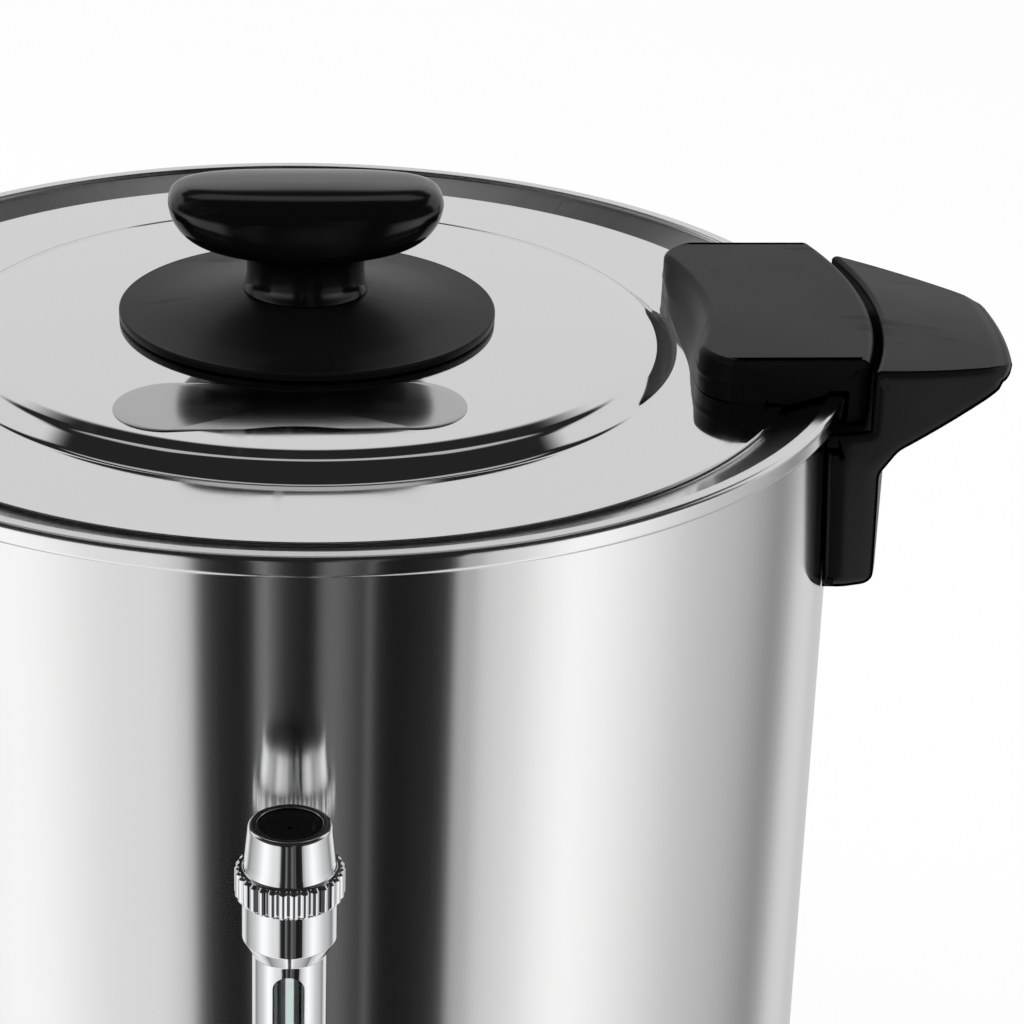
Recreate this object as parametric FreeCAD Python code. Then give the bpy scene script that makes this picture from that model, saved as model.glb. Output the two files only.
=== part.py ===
import FreeCAD, Part
import math
import os

os.makedirs("parts", exist_ok=True)
V = FreeCAD.Vector

# Hot water urn. Millimetres, +Z up, origin on the standing plane at the urn's centre,
# tap and level gauge towards -Y, handles along X.

# Main sizes
rim_r = 125.0                 # outer radius of the rolled rim
rim_z = 392.0                 # height of the rim's top
wall = 0.8                    # sheet thickness of shell and lid
shell_r = rim_r - 2.6         # outer radius of the shell
tank_floor_z = 88.0           # top of the tank floor
foot_h = 8.0                  # height of a rubber foot
base_top_z = 68.0             # top of the black base ring
base_wall = 3.0
base_flare = 3.0              # how far the base ring flares out towards its foot

# Rim and ledge
bead_h = 4.4                  # height of the rolled rim
crest_w = 3.5                 # width of the rim's flat crest
crest_drop = 0.9              # step from the crest down to the ledge
seat_drop = 3.5               # depth of the lid seat below the rim
seat_out_r = rim_r - 12.3     # where the sloping ledge meets the seat
seat_in_r = rim_r - 17.2      # inner edge of the seat
lip_h = 6.0                   # height of the lip below the seat

# Lid
lid_r = seat_out_r - 0.8      # outer radius of the lid's flange
flange_z = -2.0               # top of the lid's flange, from the rim's top
flange_w = 27.4               # width of the lid's flat flange
step_w = 5.3                  # width of the step up to the raised middle
plateau_foot_r = lid_r - flange_w
plateau_top_r = plateau_foot_r - step_w
plateau_z = 2.3               # top of the raised middle at its edge
dome_z = 3.7                  # top of the raised middle at its centre
lid_turn_deg = 3.1            # the lid as photographed, turned past the handles
spigot_clear = 1.0            # gap between the lid's spigot and the seat's lip
seal_gap = 0.05

# Knob
knob_half_l, knob_half_w = 31.0, 15.5   # the grip is oblong, in line with the ears
knob_top_z = 33.6
knob_wide_z = 30.7            # height at which the grip is widest
knob_low_z = 20.9             # underside of the grip at its neck
neck_r = 13.4
neck_top_z = 20.6
neck_base_z = 10.6
skirt_r = 43.0
skirt_edge_z = 6.1            # top of the skirt's edge
knob_screw_r = 3.0

# Lid ears
ear_depth = 20.5              # how far the ear's top reaches in over the flange
ear_splay = 4.8               # how much further in its foot reaches
ear_in_r = lid_r - ear_depth
ear_foot_r = ear_in_r - ear_splay
ear_out_r = rim_r + 4.5
ear_top_z = 7.6
ear_half_w = 38.4             # half width at the top
ear_draft = 1.7               # how much wider the ear is at its foot
ear_drop = 7.0                # how far the ear hangs outside the rim
rim_clear = 0.5               # gap between the rim and what bridges it
ear_screw_r = 1.9

# Body handles
notch_r = ear_out_r + 0.7     # wall behind the hanging ear
shelf_z = -(ear_drop + 0.6)   # shelf under the hanging ear
wing_top_z = 7.2
wing_tip_x = rim_r + 36.4
wing_half_w = 40.6
wing_tip_half_w = 25.0
wing_root_t = 20.5            # thickness at the root
wing_tip_t = 7.0
leg_r = rim_r + 8.6
leg_bottom_z = -50.0
leg_half_top = 39.4
leg_half_bottom = 31.0
handle_screw_r = 2.4
fit_gap = 0.1                 # gap between nested round pieces

# Level gauge
gauge_stand = 18.6            # from the shell to the gauge's axis
gauge_y = -(shell_r + gauge_stand)
guard_r = 7.5
guard_wall = 1.1
collar_r = 9.5
knurl_r = 11.0
cap_top_r = 8.1
cap_top_z = -50.0             # these are from the rim's top
knurl_top_z = -59.6
knurl_bottom_z = -66.0
collar_bottom_z = -75.3
collar_cone_z = -78.9
slot_top_z = -81.0
slot_half_w = 3.2
glass_r = 5.0
glass_wall = 1.0

# Tap
tap_z = 118.0
tap_reach = 35.0              # from the gauge's axis to the valve chamber's
tap_y = gauge_y - tap_reach
shank_r = 6.5
tube_r = 8.5
chamber_r = 12.0
chamber_wall = 3.0
chamber_bottom_z = 102.0
chamber_top_z = 131.0
spout_end_z = 82.0
spout_bore_r = 5.5
stem_r = 2.5
stem_lift = 3.0
run_gap = 0.05                # running fit, on the radius
pin_r = 1.5
pin_z = 152.0
lever_hub_r = 5.5
lever_half_w = 5.0
lever_top_z = 196.0

# Heating
plate_r = 62.0
plate_t = 5.0
element_r = 48.0
element_t = 4.0               # radius of the element's tube
element_leg = 15.0            # length of its upright ends
warm_leg = 10.0
skirt_h = 14.0                # height of the tank floor's turned-down edge
warm_r = 27.0
warm_t = 3.0

# Controls and inlet
panel_half_w = 47.0
panel_depth = 8.0
panel_z0, panel_z1 = 18.0, 56.0
control_margin = 15.0         # from the panel's right end to its nearest lamp
lamp_pitch = 18.0
lamp_xs = (panel_half_w - control_margin - lamp_pitch, panel_half_w - control_margin)
switch_x = -(panel_half_w - 23.0)
switch_half_w, switch_half_h = 7.0, 11.0
lamp_r = 4.0
inlet_half_w, inlet_half_h = 12.2, 8.0
inlet_depth = 16.0

parts = {}


def keep(name, shape):
    # every node is stored once, under its own name
    parts[name] = shape.removeSplitter() if len(shape.Solids) == 1 else shape


def outline(*steps):
    # a closed wire in the XZ plane; a step of two points is an arc through the first to the second
    edges, here = [], V(steps[0][0], 0, steps[0][1])
    first = here
    for step in steps[1:]:
        if isinstance(step[0], tuple):
            mid, end = V(step[0][0], 0, step[0][1]), V(step[1][0], 0, step[1][1])
            edges.append(Part.Arc(here, mid, end).toShape())
            here = end
        else:
            end = V(step[0], 0, step[1])
            edges.append(Part.makeLine(here, end))
            here = end
    if (here - first).Length > 1e-6:
        edges.append(Part.makeLine(here, first))
    return Part.Face(Part.Wire(edges))


def spun(*steps, at=(0, 0)):
    # a body of revolution about +Z
    shape = outline(*steps).revolve(V(0, 0, 0), V(0, 0, 1), 360)
    shape.translate(V(at[0], at[1], 0))
    return shape


def rod(radius, z0, z1, at=(0, 0)):
    return Part.makeCylinder(radius, z1 - z0, V(at[0], at[1], z0))


def ring(r_out, r_in, z0, z1, at=(0, 0)):
    return rod(r_out, z0, z1, at).cut(rod(r_in, z0 - 1, z1 + 1, at))


def along_y(radius, y0, y1, x=0.0, z=0.0):
    return Part.makeCylinder(radius, y1 - y0, V(x, y0, z), V(0, 1, 0))


def along_x(radius, x0, x1, y=0.0, z=0.0):
    return Part.makeCylinder(radius, x1 - x0, V(x0, y, z), V(1, 0, 0))


def block(x0, x1, y0, y1, z0, z1):
    return Part.makeBox(x1 - x0, y1 - y0, z1 - z0, V(x0, y0, z0))


def joined(shape, *others):
    for other in others:
        shape = shape.fuse(other)
    return shape.removeSplitter()


def less(shape, *others):
    for other in others:
        shape = shape.cut(other)
    return shape


def soften(shape, radius, wanted):
    # rounds the edges that wanted picks, and leaves out any edge that can't take the radius
    edges = [e for e in shape.Edges if wanted(e)]
    if not edges:
        return shape
    try:
        rounded = shape.makeFillet(radius, edges)
        if rounded.isValid() and len(rounded.Solids) == 1:
            return rounded
    except Exception:
        pass
    for edge in edges:
        try:
            rounded = shape.makeFillet(radius, [edge])
            if rounded.isValid() and len(rounded.Solids) == 1:
                return rounded
        except Exception:
            continue
    return shape


def mirrored(shape):
    return shape.mirror(V(0, 0, 0), V(1, 0, 0))


def turned(shape, degrees):
    out = shape.copy()
    out.rotate(V(0, 0, 0), V(0, 0, 1), degrees)
    return out


def screw_up(radius, head_r, x, y, z_head, z_tip, head_t=2.2):
    # a pan-head screw whose head hangs below z_head
    return joined(rod(radius, z_head, z_tip, (x, y)), rod(head_r, z_head - head_t, z_head, (x, y)))


# Body shell: straight wall, rolled rim, sloping ledge and lid seat in one pressing
shell_bottom_z = base_top_z - 8.0
lip_r = seat_in_r - wall
crest_in_r = rim_r - crest_w - 0.2
H = rim_z
body_shell = spun(
    (shell_r, shell_bottom_z), (shell_r, H - bead_h),
    ((shell_r + 1.9, H - bead_h + 0.35), (rim_r, H - bead_h + 1.3)), (rim_r, H - 1.0),
    ((rim_r - 0.3, H - 0.3), (rim_r - 1.0, H)), (crest_in_r + 0.4, H),
    ((crest_in_r + 0.1, H - 0.12), (crest_in_r, H - 0.4)), (crest_in_r, H - crest_drop),
    (seat_out_r, H - seat_drop), (seat_in_r + 0.6, H - seat_drop),
    ((seat_in_r - 0.5, H - seat_drop - 0.3), (lip_r, H - seat_drop - 1.2)),
    (lip_r, H - seat_drop - lip_h), (lip_r + wall, H - seat_drop - lip_h),
    (lip_r + wall, H - seat_drop - 1.5), (lip_r + wall + 0.6, H - seat_drop - wall),
    (seat_out_r + 0.2, H - seat_drop - wall), (crest_in_r - 0.2, H - crest_drop - wall),
    (shell_r - wall, H - crest_drop - wall - 0.3), (shell_r - wall, shell_bottom_z))

# Tank floor: a shallow disc whose skirt turns down and is welded inside the shell
floor_r = shell_r - wall - fit_gap
floor_t = 1.0
tank_floor = spun(
    (0, tank_floor_z), (plate_r + 8, tank_floor_z), (floor_r - 8, tank_floor_z + 2.0),
    (floor_r - 4, tank_floor_z + 2.0),
    ((floor_r - 1.2, tank_floor_z + 0.8), (floor_r, tank_floor_z - 2)), (floor_r, tank_floor_z - skirt_h),
    (floor_r - floor_t, tank_floor_z - skirt_h), (floor_r - floor_t, tank_floor_z - 2),
    ((floor_r - 1.9, tank_floor_z + 0.1), (floor_r - 4, tank_floor_z + 1.0)),
    (floor_r - 8, tank_floor_z + 1.0), (plate_r + 8.2, tank_floor_z - floor_t), (0, tank_floor_z - floor_t))

# Heating under the floor: plate, ring element, keep-warm ring, thermostat and cut-out
plate_z = tank_floor_z - floor_t - fit_gap
plate_bottom = plate_z - plate_t
heater_plate = rod(plate_r, plate_bottom, plate_z)
element_z = plate_bottom - element_t - fit_gap
element = Part.makeTorus(element_r, element_t, V(0, 0, element_z))
for side in (-1, 1):
    element = element.fuse(rod(2.6, element_z - element_leg, element_z, (side * 9, element_r - 1.0)))
keep("heater_plate", heater_plate)
keep("heating_element", element)
warm_z = plate_bottom - warm_t - fit_gap
warm = Part.makeTorus(warm_r, warm_t, V(0, 0, warm_z))
for side in (-1, 1):
    warm = warm.fuse(rod(2.0, warm_z - warm_leg, warm_z, (side * 7, -warm_r + 0.8)))
keep("keep_warm_element", warm)


def disc_switch(radius, x, y):
    top = plate_bottom - fit_gap
    body = joined(rod(radius, top - 9, top, (x, y)), rod(radius * 0.55, top - 14, top - 9, (x, y)))
    tabs = [block(x + s * 3.4 - 0.4, x + s * 3.4 + 0.4, y - 2.4, y + 2.4, top - 22, top - 13.5)
            for s in (-1, 1)]
    return joined(body, *tabs)


switch_disc_r = 7.8
keep("thermostat", disc_switch(switch_disc_r, -(switch_disc_r + 5.5), 6.0))
keep("thermal_cutout", disc_switch(switch_disc_r - 0.8, switch_disc_r + 5.0, 6.0))

# Base ring, bottom plate, feet and the centre stud that clamps them
base_bottom_z = foot_h + 1.2
base_top_r = shell_r + fit_gap + base_wall
base_foot_r = base_top_r + base_flare
ledge_z = shell_bottom_z - fit_gap
base_ring = spun(
    (base_foot_r - base_wall, base_bottom_z), (base_foot_r - 1.5, base_bottom_z),
    ((base_foot_r - 0.4, base_bottom_z + 0.4), (base_foot_r, base_bottom_z + 1.5)),
    (base_top_r, base_top_z - 1.5), ((base_top_r - 0.5, base_top_z - 0.5), (base_top_r - 1.5, base_top_z)),
    (shell_r + fit_gap, base_top_z), (shell_r + fit_gap, ledge_z), (shell_r - 5, ledge_z),
    (shell_r - 5, ledge_z - base_wall), (base_top_r - base_wall, ledge_z - base_wall - 4))
boss_r, boss_at = 5.5, 104.0
bosses = [turned(rod(boss_r, base_bottom_z, base_bottom_z + 22, (boss_at, 0)), a)
          for a in (45, 135, 225, 315)]
ribs = [turned(block(boss_at + 3, base_foot_r - base_wall + 1.0, -1.5, 1.5,
                     base_bottom_z, base_bottom_z + 20), a)
        for a in (45, 135, 225, 315)]
base_ring = joined(base_ring, *bosses, *ribs)
boss_hole_r = 1.9
base_ring = less(base_ring, *[turned(rod(boss_hole_r, base_bottom_z - 1, base_bottom_z + 18, (boss_at, 0)), a)
                              for a in (45, 135, 225, 315)])

plate_hole_r = 2.3
stud_r = 3.0
bottom_plate = rod(base_foot_r - 2.0, foot_h, foot_h + 1.2 - fit_gap)
bottom_plate = less(bottom_plate, rod(stud_r + 0.4, foot_h - 1, foot_h + 3))
for a in (45, 135, 225, 315):
    bottom_plate = bottom_plate.cut(turned(rod(plate_hole_r, foot_h - 1, foot_h + 3, (boss_at, 0)), a))
for a in range(0, 360, 30):
    bottom_plate = bottom_plate.cut(turned(block(52, 74, -2, 2, foot_h - 1, foot_h + 3), a))
keep("bottom_plate", bottom_plate)

foot_r = 12.0
foot_hole_r = 4.2
foot_head_t = 2.2
names = {45: "foot_back_right", 135: "foot_back_left", 225: "foot_front_left", 315: "foot_front_right"}
for angle, name in names.items():
    foot = spun((foot_hole_r, 0), (foot_r - 1.2, 0), (foot_r - 0.2, 1.0), (foot_r + 0.8, foot_h - fit_gap),
                (plate_hole_r, foot_h - fit_gap), (plate_hole_r, foot_h - 3.5), (foot_hole_r, foot_h - 3.5),
                at=(boss_at, 0))
    keep(name, turned(foot, angle))
foot_screws = [turned(screw_up(boss_hole_r - fit_gap, foot_hole_r - 0.4, boss_at, 0, foot_h - 3.6,
                               base_bottom_z + 16, foot_head_t), a) for a in names]
keep("foot_screws", Part.makeCompound(foot_screws))

stud_top = plate_bottom - fit_gap
nut_t = 4.0
stud = joined(rod(stud_r, foot_h - nut_t - 1.5, stud_top), rod(stud_r + 3, stud_top - 3, stud_top))
keep("centre_stud", stud)


def hex_nut(flats, z0, z1, bore_r):
    corners = [V(flats / math.sqrt(3) * math.cos(math.radians(60 * k)),
                 flats / math.sqrt(3) * math.sin(math.radians(60 * k)), z0) for k in range(6)]
    body = Part.Face(Part.makePolygon(corners + corners[:1])).extrude(V(0, 0, z1 - z0))
    return body.cut(rod(bore_r, z0 - 1, z1 + 1))


keep("centre_nut", hex_nut(stud_r * 3.3, foot_h - nut_t - fit_gap, foot_h - fit_gap, stud_r + fit_gap))

# Lid pan: flange, raised middle and a spigot that drops inside the seat's lip
lid_under = flange_z - wall
dome_mid_r = (plateau_top_r - 2.0) / 2


def dome_at(r):
    # height of the domed middle at radius r, above the rim's top
    return dome_z - (dome_z - plateau_z) * (r / (plateau_top_r - 2.0)) ** 2


spigot_r = lip_r - spigot_clear
seal_in_r, seal_out_r = seat_in_r + 0.6, seat_out_r - 1.4
lid_pan = spun(
    (0, H + dome_z), ((dome_mid_r, H + dome_at(dome_mid_r)), (plateau_top_r - 2.0, H + plateau_z)),
    ((plateau_top_r - 0.2, H + plateau_z - 0.7), (plateau_top_r + 1.2, H + plateau_z - 2.4)),
    (plateau_foot_r - 1.9, H + flange_z + 0.5),
    ((plateau_foot_r - 0.9, H + flange_z - 0.2), (plateau_foot_r + 0.8, H + flange_z - 0.4)),
    (lid_r - 1.0, H + flange_z - 0.02), ((lid_r - 0.2, H + flange_z - 0.2), (lid_r, H + flange_z - 0.5)),
    (lid_r, H + lid_under - 0.1), (spigot_r, H + lid_under - 0.1), (spigot_r, H - seat_drop - lip_h + 1.0),
    (spigot_r - wall, H - seat_drop - lip_h + 1.0), (spigot_r - wall, H + lid_under - 0.2),
    (plateau_foot_r + 0.4, H + lid_under - 0.4), (plateau_foot_r - 2.6, H + lid_under + 0.2),
    (plateau_top_r - 0.6, H + plateau_z - wall - 2.0), (plateau_top_r - 2.6, H + plateau_z - wall),
    ((dome_mid_r, H + dome_at(dome_mid_r) - wall), (0, H + dome_z - wall)))
ear_screw_x = (ear_in_r + lid_r) / 2 - 4.5
ear_screw_y = ear_half_w * 0.52
ear_screw_at = [turned(Part.Vertex(V(side * ear_screw_x, y, 0)), lid_turn_deg).Point
                for side in (-1, 1) for y in (-ear_screw_y, ear_screw_y)]
lid_pan = less(lid_pan, rod(knob_screw_r + 0.3, H - 5, H + 10),
               *[rod(ear_screw_r + 0.3, H - 8, H + 4, (p.x, p.y)) for p in ear_screw_at])
keep("lid_pan", lid_pan)
seal_top = H + lid_under - 0.1 - seal_gap
seal_bottom = H - seat_drop + seal_gap
keep("lid_seal", ring(seal_out_r, seal_in_r, seal_bottom, seal_top))

# Knob on its round skirt, held by one screw from under the lid
skirt = spun(
    (knob_screw_r + 0.3, H + dome_z + fit_gap),
    ((skirt_r * 0.52, H + dome_at(skirt_r * 0.52) + fit_gap),
     (skirt_r - 0.8, H + dome_at(skirt_r - 0.8) + fit_gap)),
    ((skirt_r - 0.2, H + dome_at(skirt_r) + 0.3), (skirt_r, H + dome_at(skirt_r) + 0.6)),
    (skirt_r, H + skirt_edge_z - 0.6),
    ((skirt_r - 0.2, H + skirt_edge_z - 0.2), (skirt_r - 0.8, H + skirt_edge_z)),
    ((skirt_r * 0.62, H + skirt_edge_z + 1.9), (neck_r + 2.5, H + neck_base_z - fit_gap - 0.6)),
    (neck_r + 1.0, H + neck_base_z - fit_gap), (knob_screw_r + 0.3, H + neck_base_z - fit_gap))
keep("knob_skirt", skirt)


def grip_section(z, half_l, half_w, power=2.4, points=20):
    # a closed curve where |x / half_l|^power + |y / half_w|^power = 1
    around = [(math.cos(2 * math.pi * k / points), math.sin(2 * math.pi * k / points)) for k in range(points)]
    grow = [(abs(c) ** power + abs(d) ** power) ** (-1 / power) for c, d in around]
    curve = Part.BSplineCurve()
    curve.interpolate([V(half_l * g * c, half_w * g * d, z) for g, (c, d) in zip(grow, around)],
                      PeriodicFlag=True)
    return Part.Wire([curve.toShape()])


# shares of the half length and half width at shares of the way down to the neck and up to the top
grip_below = ((1.0, 0.45, 0.86), (0.85, 0.56, 0.885), (0.65, 0.69, 0.915), (0.45, 0.81, 0.945),
              (0.25, 0.92, 0.975), (0.1, 0.98, 0.995))
grip_above = ((0.12, 0.995, 0.99), (0.4, 0.975, 0.92), (0.65, 0.93, 0.8), (0.85, 0.84, 0.62),
              (0.96, 0.7, 0.42), (1.0, 0.5, 0.2))
drop, climb = knob_wide_z - knob_low_z, knob_top_z - knob_wide_z
sections = [grip_section(H + knob_wide_z - f * drop, a * knob_half_l, b * knob_half_w,
                         2.4 - 0.4 * f) for f, a, b in grip_below]
sections += [grip_section(H + knob_wide_z + f * climb, a * knob_half_l, b * knob_half_w)
             for f, a, b in grip_above]
grip = turned(Part.makeLoft(sections, True, True), lid_turn_deg)
neck = spun(
    (0, H + neck_base_z), (neck_r + 0.9, H + neck_base_z), (neck_r + 0.9, H + neck_base_z + 1.0),
    ((neck_r - 0.1, H + (neck_base_z + neck_top_z) / 2 + 1), (neck_r + 0.3, H + neck_top_z)),
    (neck_r - 0.4, H + knob_low_z + 1.0), (0, H + knob_low_z + 1.0))
knob = joined(grip, neck).cut(rod(knob_screw_r, H + neck_base_z - 1, H + neck_base_z + 16))
keep("lid_knob", knob)
knob_head_z = dome_z - wall - 1.3
keep("knob_washer", ring(knob_screw_r * 2.6, knob_screw_r + 0.2, H + knob_head_z + fit_gap,
                         H + dome_z - wall - fit_gap))
keep("knob_screw", screw_up(knob_screw_r - fit_gap, knob_screw_r * 2.0, 0, 0, H + knob_head_z,
                            H + neck_base_z + 14, 3.4))


# Lid ears: hollow mouldings that stand on the flange, bridge the rim and hang outside it
def rounded_slab(half_w, z, x0, x1, corner):
    # a plan outline with both inner corners rounded
    h = half_w
    edges = [Part.makeLine(V(x1, -h, z), V(x1, h, z)), Part.makeLine(V(x1, h, z), V(x0 + corner, h, z)),
             Part.Arc(V(x0 + corner, h, z), V(x0 + corner * 0.293, h - corner * 0.293, z),
                      V(x0, h - corner, z)).toShape(),
             Part.makeLine(V(x0, h - corner, z), V(x0, -h + corner, z)),
             Part.Arc(V(x0, -h + corner, z), V(x0 + corner * 0.293, -h + corner * 0.293, z),
                      V(x0 + corner, -h, z)).toShape(),
             Part.makeLine(V(x0 + corner, -h, z), V(x1, -h, z))]
    return Part.Wire(edges)


ear_foot_z = flange_z + fit_gap
ear_spun = spun(
    (ear_foot_r, H + ear_foot_z),
    ((ear_in_r - 1.3, H + ear_top_z * 0.36), (ear_in_r, H + ear_top_z - 1.0)),
    (ear_in_r + 0.9, H + ear_top_z), (ear_out_r - 1.0, H + ear_top_z),
    ((ear_out_r - 0.3, H + ear_top_z - 0.3), (ear_out_r, H + ear_top_z - 1.0)), (ear_out_r, H - ear_drop),
    (rim_r + rim_clear, H - ear_drop), (rim_r + rim_clear, H + rim_clear),
    (rim_r - crest_w - 0.8, H + rim_clear), (rim_r - crest_w - 0.8, H - crest_drop + rim_clear),
    (seat_out_r - 0.2, H - seat_drop + rim_clear + 0.3), (seat_out_r - 0.2, H + ear_foot_z))
low, high = -ear_drop - 1.0, ear_top_z + 1.0
ear_taper = ear_draft / (ear_top_z - ear_foot_z)
slab = Part.makeLoft([
    rounded_slab(ear_half_w + ear_taper * (ear_top_z - z), H + z, ear_foot_r - 0.3, ear_out_r + 8, 11.0)
    for z in (low, high)], True, True)
ear = ear_spun.common(slab)
ear = soften(ear, 0.9, lambda e: e.BoundBox.ZMin > H + ear_top_z - 0.05 and e.BoundBox.YLength < 3
             and e.BoundBox.XLength > 15)
hollow_t = 2.6
pocket = ring(lid_r - 4.0, ear_in_r + 4.5, H + ear_foot_z - 1, H + ear_top_z - hollow_t).common(
    block(0, lid_r, -ear_half_w + 5, ear_half_w - 5, H - 10, H + 10))
posts = [rod(ear_screw_r + 2.2, H + ear_foot_z - 1, H + ear_top_z, (ear_screw_x, s * ear_screw_y))
         for s in (-1, 1)]
ear = less(ear, less(pocket, *posts))
ear = less(ear, *[rod(ear_screw_r, H + ear_foot_z - 1, H + ear_top_z - 2.0, (ear_screw_x, s * ear_screw_y))
                  for s in (-1, 1)])
keep("lid_ear_right", turned(ear, lid_turn_deg))
keep("lid_ear_left", turned(ear, lid_turn_deg + 180))
ear_screw_head_z = H + lid_under - 0.1 - 0.35
keep("lid_ear_screws", Part.makeCompound([
    screw_up(ear_screw_r - fit_gap, ear_screw_r * 1.8, p.x, p.y, ear_screw_head_z, H + ear_top_z - 3.0, 1.6)
    for p in ear_screw_at]))


# Body handles: a wing, the shelf under the hanging ear and a leg screwed to the shell
def plan(points, z0, z1):
    flat = [V(x, y, z0) for x, y in points]
    return Part.Face(Part.makePolygon(flat + flat[:1])).extrude(V(0, 0, z1 - z0))


side_view = [(shell_r - 8, wing_top_z + 0.3), (notch_r, wing_top_z), (wing_tip_x - 5.0, wing_top_z - 3.6),
             (wing_tip_x - 1.6, wing_top_z - 4.6), (wing_tip_x, wing_top_z - 6.8),
             (wing_tip_x, wing_top_z - wing_tip_t - 1.0), (wing_tip_x - 2.2, wing_top_z - wing_tip_t - 3.2),
             (wing_tip_x - 6.5, wing_top_z - wing_tip_t - 4.8), (leg_r + 3.5, wing_top_z - wing_root_t),
             (leg_r + 0.8, wing_top_z - wing_root_t - 2.4), (leg_r - 0.8, wing_top_z - wing_root_t - 5.5),
             (shell_r - 8, wing_top_z - wing_root_t - 5.5)]
face = Part.Face(Part.makePolygon([V(x, -60, H + z) for x, z in side_view + side_view[:1]]))
wing = face.extrude(V(0, 120, 0))
tip_bend = 2.2
w, t = wing_half_w, wing_tip_half_w
tip_plan = [(shell_r - 12, -w), (notch_r + 1.5, -w), (wing_tip_x - tip_bend - 4.6, -t - 1.2),
            (wing_tip_x - tip_bend - 1.6, -t + 1.2)]
tip_plan += [(wing_tip_x - tip_bend * (y / t) ** 2, y) for y in (-t * 0.85, -t * 0.5, -t * 0.2)]
tip_plan += [(x, -y) for x, y in reversed(tip_plan)]
wing = wing.common(plan(tip_plan, H - 60, H + 20))
leg_in, leg_out = shell_r - 22, leg_r + 10
leg_slab = Part.makeLoft([
    Part.makePolygon([V(leg_in, -a, z), V(leg_out, -a, z), V(leg_out, a, z), V(leg_in, a, z),
                      V(leg_in, -a, z)])
    for a, z in ((leg_half_bottom, H + leg_bottom_z), (leg_half_top, H + shelf_z - 1.0))], True, True)
leg = rod(leg_r, H + leg_bottom_z, H + shelf_z - 1.0).common(leg_slab)
leg = soften(leg, 2.5, lambda e: e.BoundBox.ZLength > 20 and e.BoundBox.XMin > shell_r)
leg = soften(leg, 2.0, lambda e: e.BoundBox.ZMax < H + leg_bottom_z + 0.1 and e.BoundBox.XMin > shell_r - 12)
handle = joined(wing, leg)
handle = less(handle, rod(shell_r + fit_gap, H - 70, H + 20), rod(notch_r, H + shelf_z, H + 20))
handle = soften(handle, 1.3, lambda e: e.BoundBox.XLength > 20 and e.BoundBox.YLength < 20
                and e.BoundBox.ZMin > H + 1)
screw_zs = (shelf_z - 12.0, leg_bottom_z + 9.0)
for z in screw_zs:
    handle = handle.cut(along_x(handle_screw_r, shell_r - 5, leg_r - 2.5, 0, H + z))
keep("handle_right", handle)
keep("handle_left", mirrored(handle))
screws, washers = [], []
washer_t = 1.0
for z in screw_zs:
    holes = along_x(handle_screw_r + 0.3, shell_r - 5, shell_r + 2, 0, H + z)
    body_shell = less(body_shell, holes, mirrored(holes))
    inside = shell_r - wall - 0.35
    washer = along_x(handle_screw_r * 2.1, inside - washer_t, inside, 0, H + z).cut(
        along_x(handle_screw_r + 0.1, inside - 3, inside + 3, 0, H + z))
    screw = joined(along_x(handle_screw_r - fit_gap, inside - washer_t - 1, leg_r - 3.5, 0, H + z),
                   along_x(handle_screw_r * 1.7, inside - washer_t - 2.3,
                           inside - washer_t - fit_gap, 0, H + z))
    washers += [washer, mirrored(washer)]
    screws += [screw, mirrored(screw)]
keep("handle_screws", Part.makeCompound(screws))
keep("handle_washers", Part.makeCompound(washers))

# Tap: shank, gauge tee, valve chamber and spout in one casting
gauge_boss_top = tap_z + 14.0
shell_at_front = -shell_r
flange_y = shell_at_front - 2.0
flange_t = 2.5
tap_flange_r = 13.0
tap_body = joined(
    along_y(shank_r, flange_y - 1, shell_at_front + 15, 0, tap_z),
    along_y(tap_flange_r, flange_y - flange_t, flange_y, 0, tap_z),
    along_y(tube_r, tap_y, flange_y - 1, 0, tap_z),
    rod(guard_r + 2.0, tap_z, gauge_boss_top, (0, gauge_y)),
    spun((0, chamber_bottom_z - 4), (chamber_r - 4, chamber_bottom_z - 4), (chamber_r, chamber_bottom_z),
         (chamber_r, chamber_top_z), (0, chamber_top_z), at=(0, tap_y)),
    spun((0, spout_end_z), (spout_bore_r + 1.6, spout_end_z), (spout_bore_r + 2.4, chamber_bottom_z + 1),
         (0, chamber_bottom_z + 1), at=(0, tap_y)))
seat_z = chamber_bottom_z + 3.0
gauge_socket_z = gauge_boss_top - 10.0
tap_body = less(
    tap_body,
    along_y(shank_r - 2.0, tap_y, shell_at_front + 16, 0, tap_z),
    rod(guard_r - guard_wall - 3.0, tap_z, gauge_boss_top + 1, (0, gauge_y)),
    rod(glass_r + 0.6, gauge_socket_z, gauge_boss_top + 1, (0, gauge_y)),
    rod(chamber_r - chamber_wall, seat_z, chamber_top_z + 1, (0, tap_y)),
    rod(spout_bore_r - 1.0, spout_end_z - 1, seat_z + 1, (0, tap_y)),
    rod(spout_bore_r, spout_end_z - 1, seat_z - 2.5, (0, tap_y)))
keep("tap_body", tap_body)

shell_hole_r = shank_r + 0.4
body_shell = less(body_shell, along_y(shell_hole_r, shell_at_front - 5, shell_at_front + 8, 0, tap_z))
keep("body_shell", body_shell)
keep("tank_floor", tank_floor)
outer_gasket = less(along_y(tap_flange_r - 1, flange_y + fit_gap, shell_at_front + 6, 0, tap_z),
                    along_y(shank_r + 0.2, flange_y - 1, shell_at_front + 9, 0, tap_z),
                    rod(shell_r + fit_gap, tap_z - 30, tap_z + 30))
keep("tap_gasket_outer", outer_gasket)
inner_face = shell_at_front + wall + fit_gap + 0.1
inner_gasket = less(along_y(tap_flange_r - 2, inner_face - 1, inner_face + 2.4, 0, tap_z),
                    along_y(shank_r + 0.2, inner_face - 3, inner_face + 6, 0, tap_z)).common(
    rod(shell_r - wall - fit_gap, tap_z - 30, tap_z + 30))
keep("tap_gasket_inner", inner_gasket)
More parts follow.
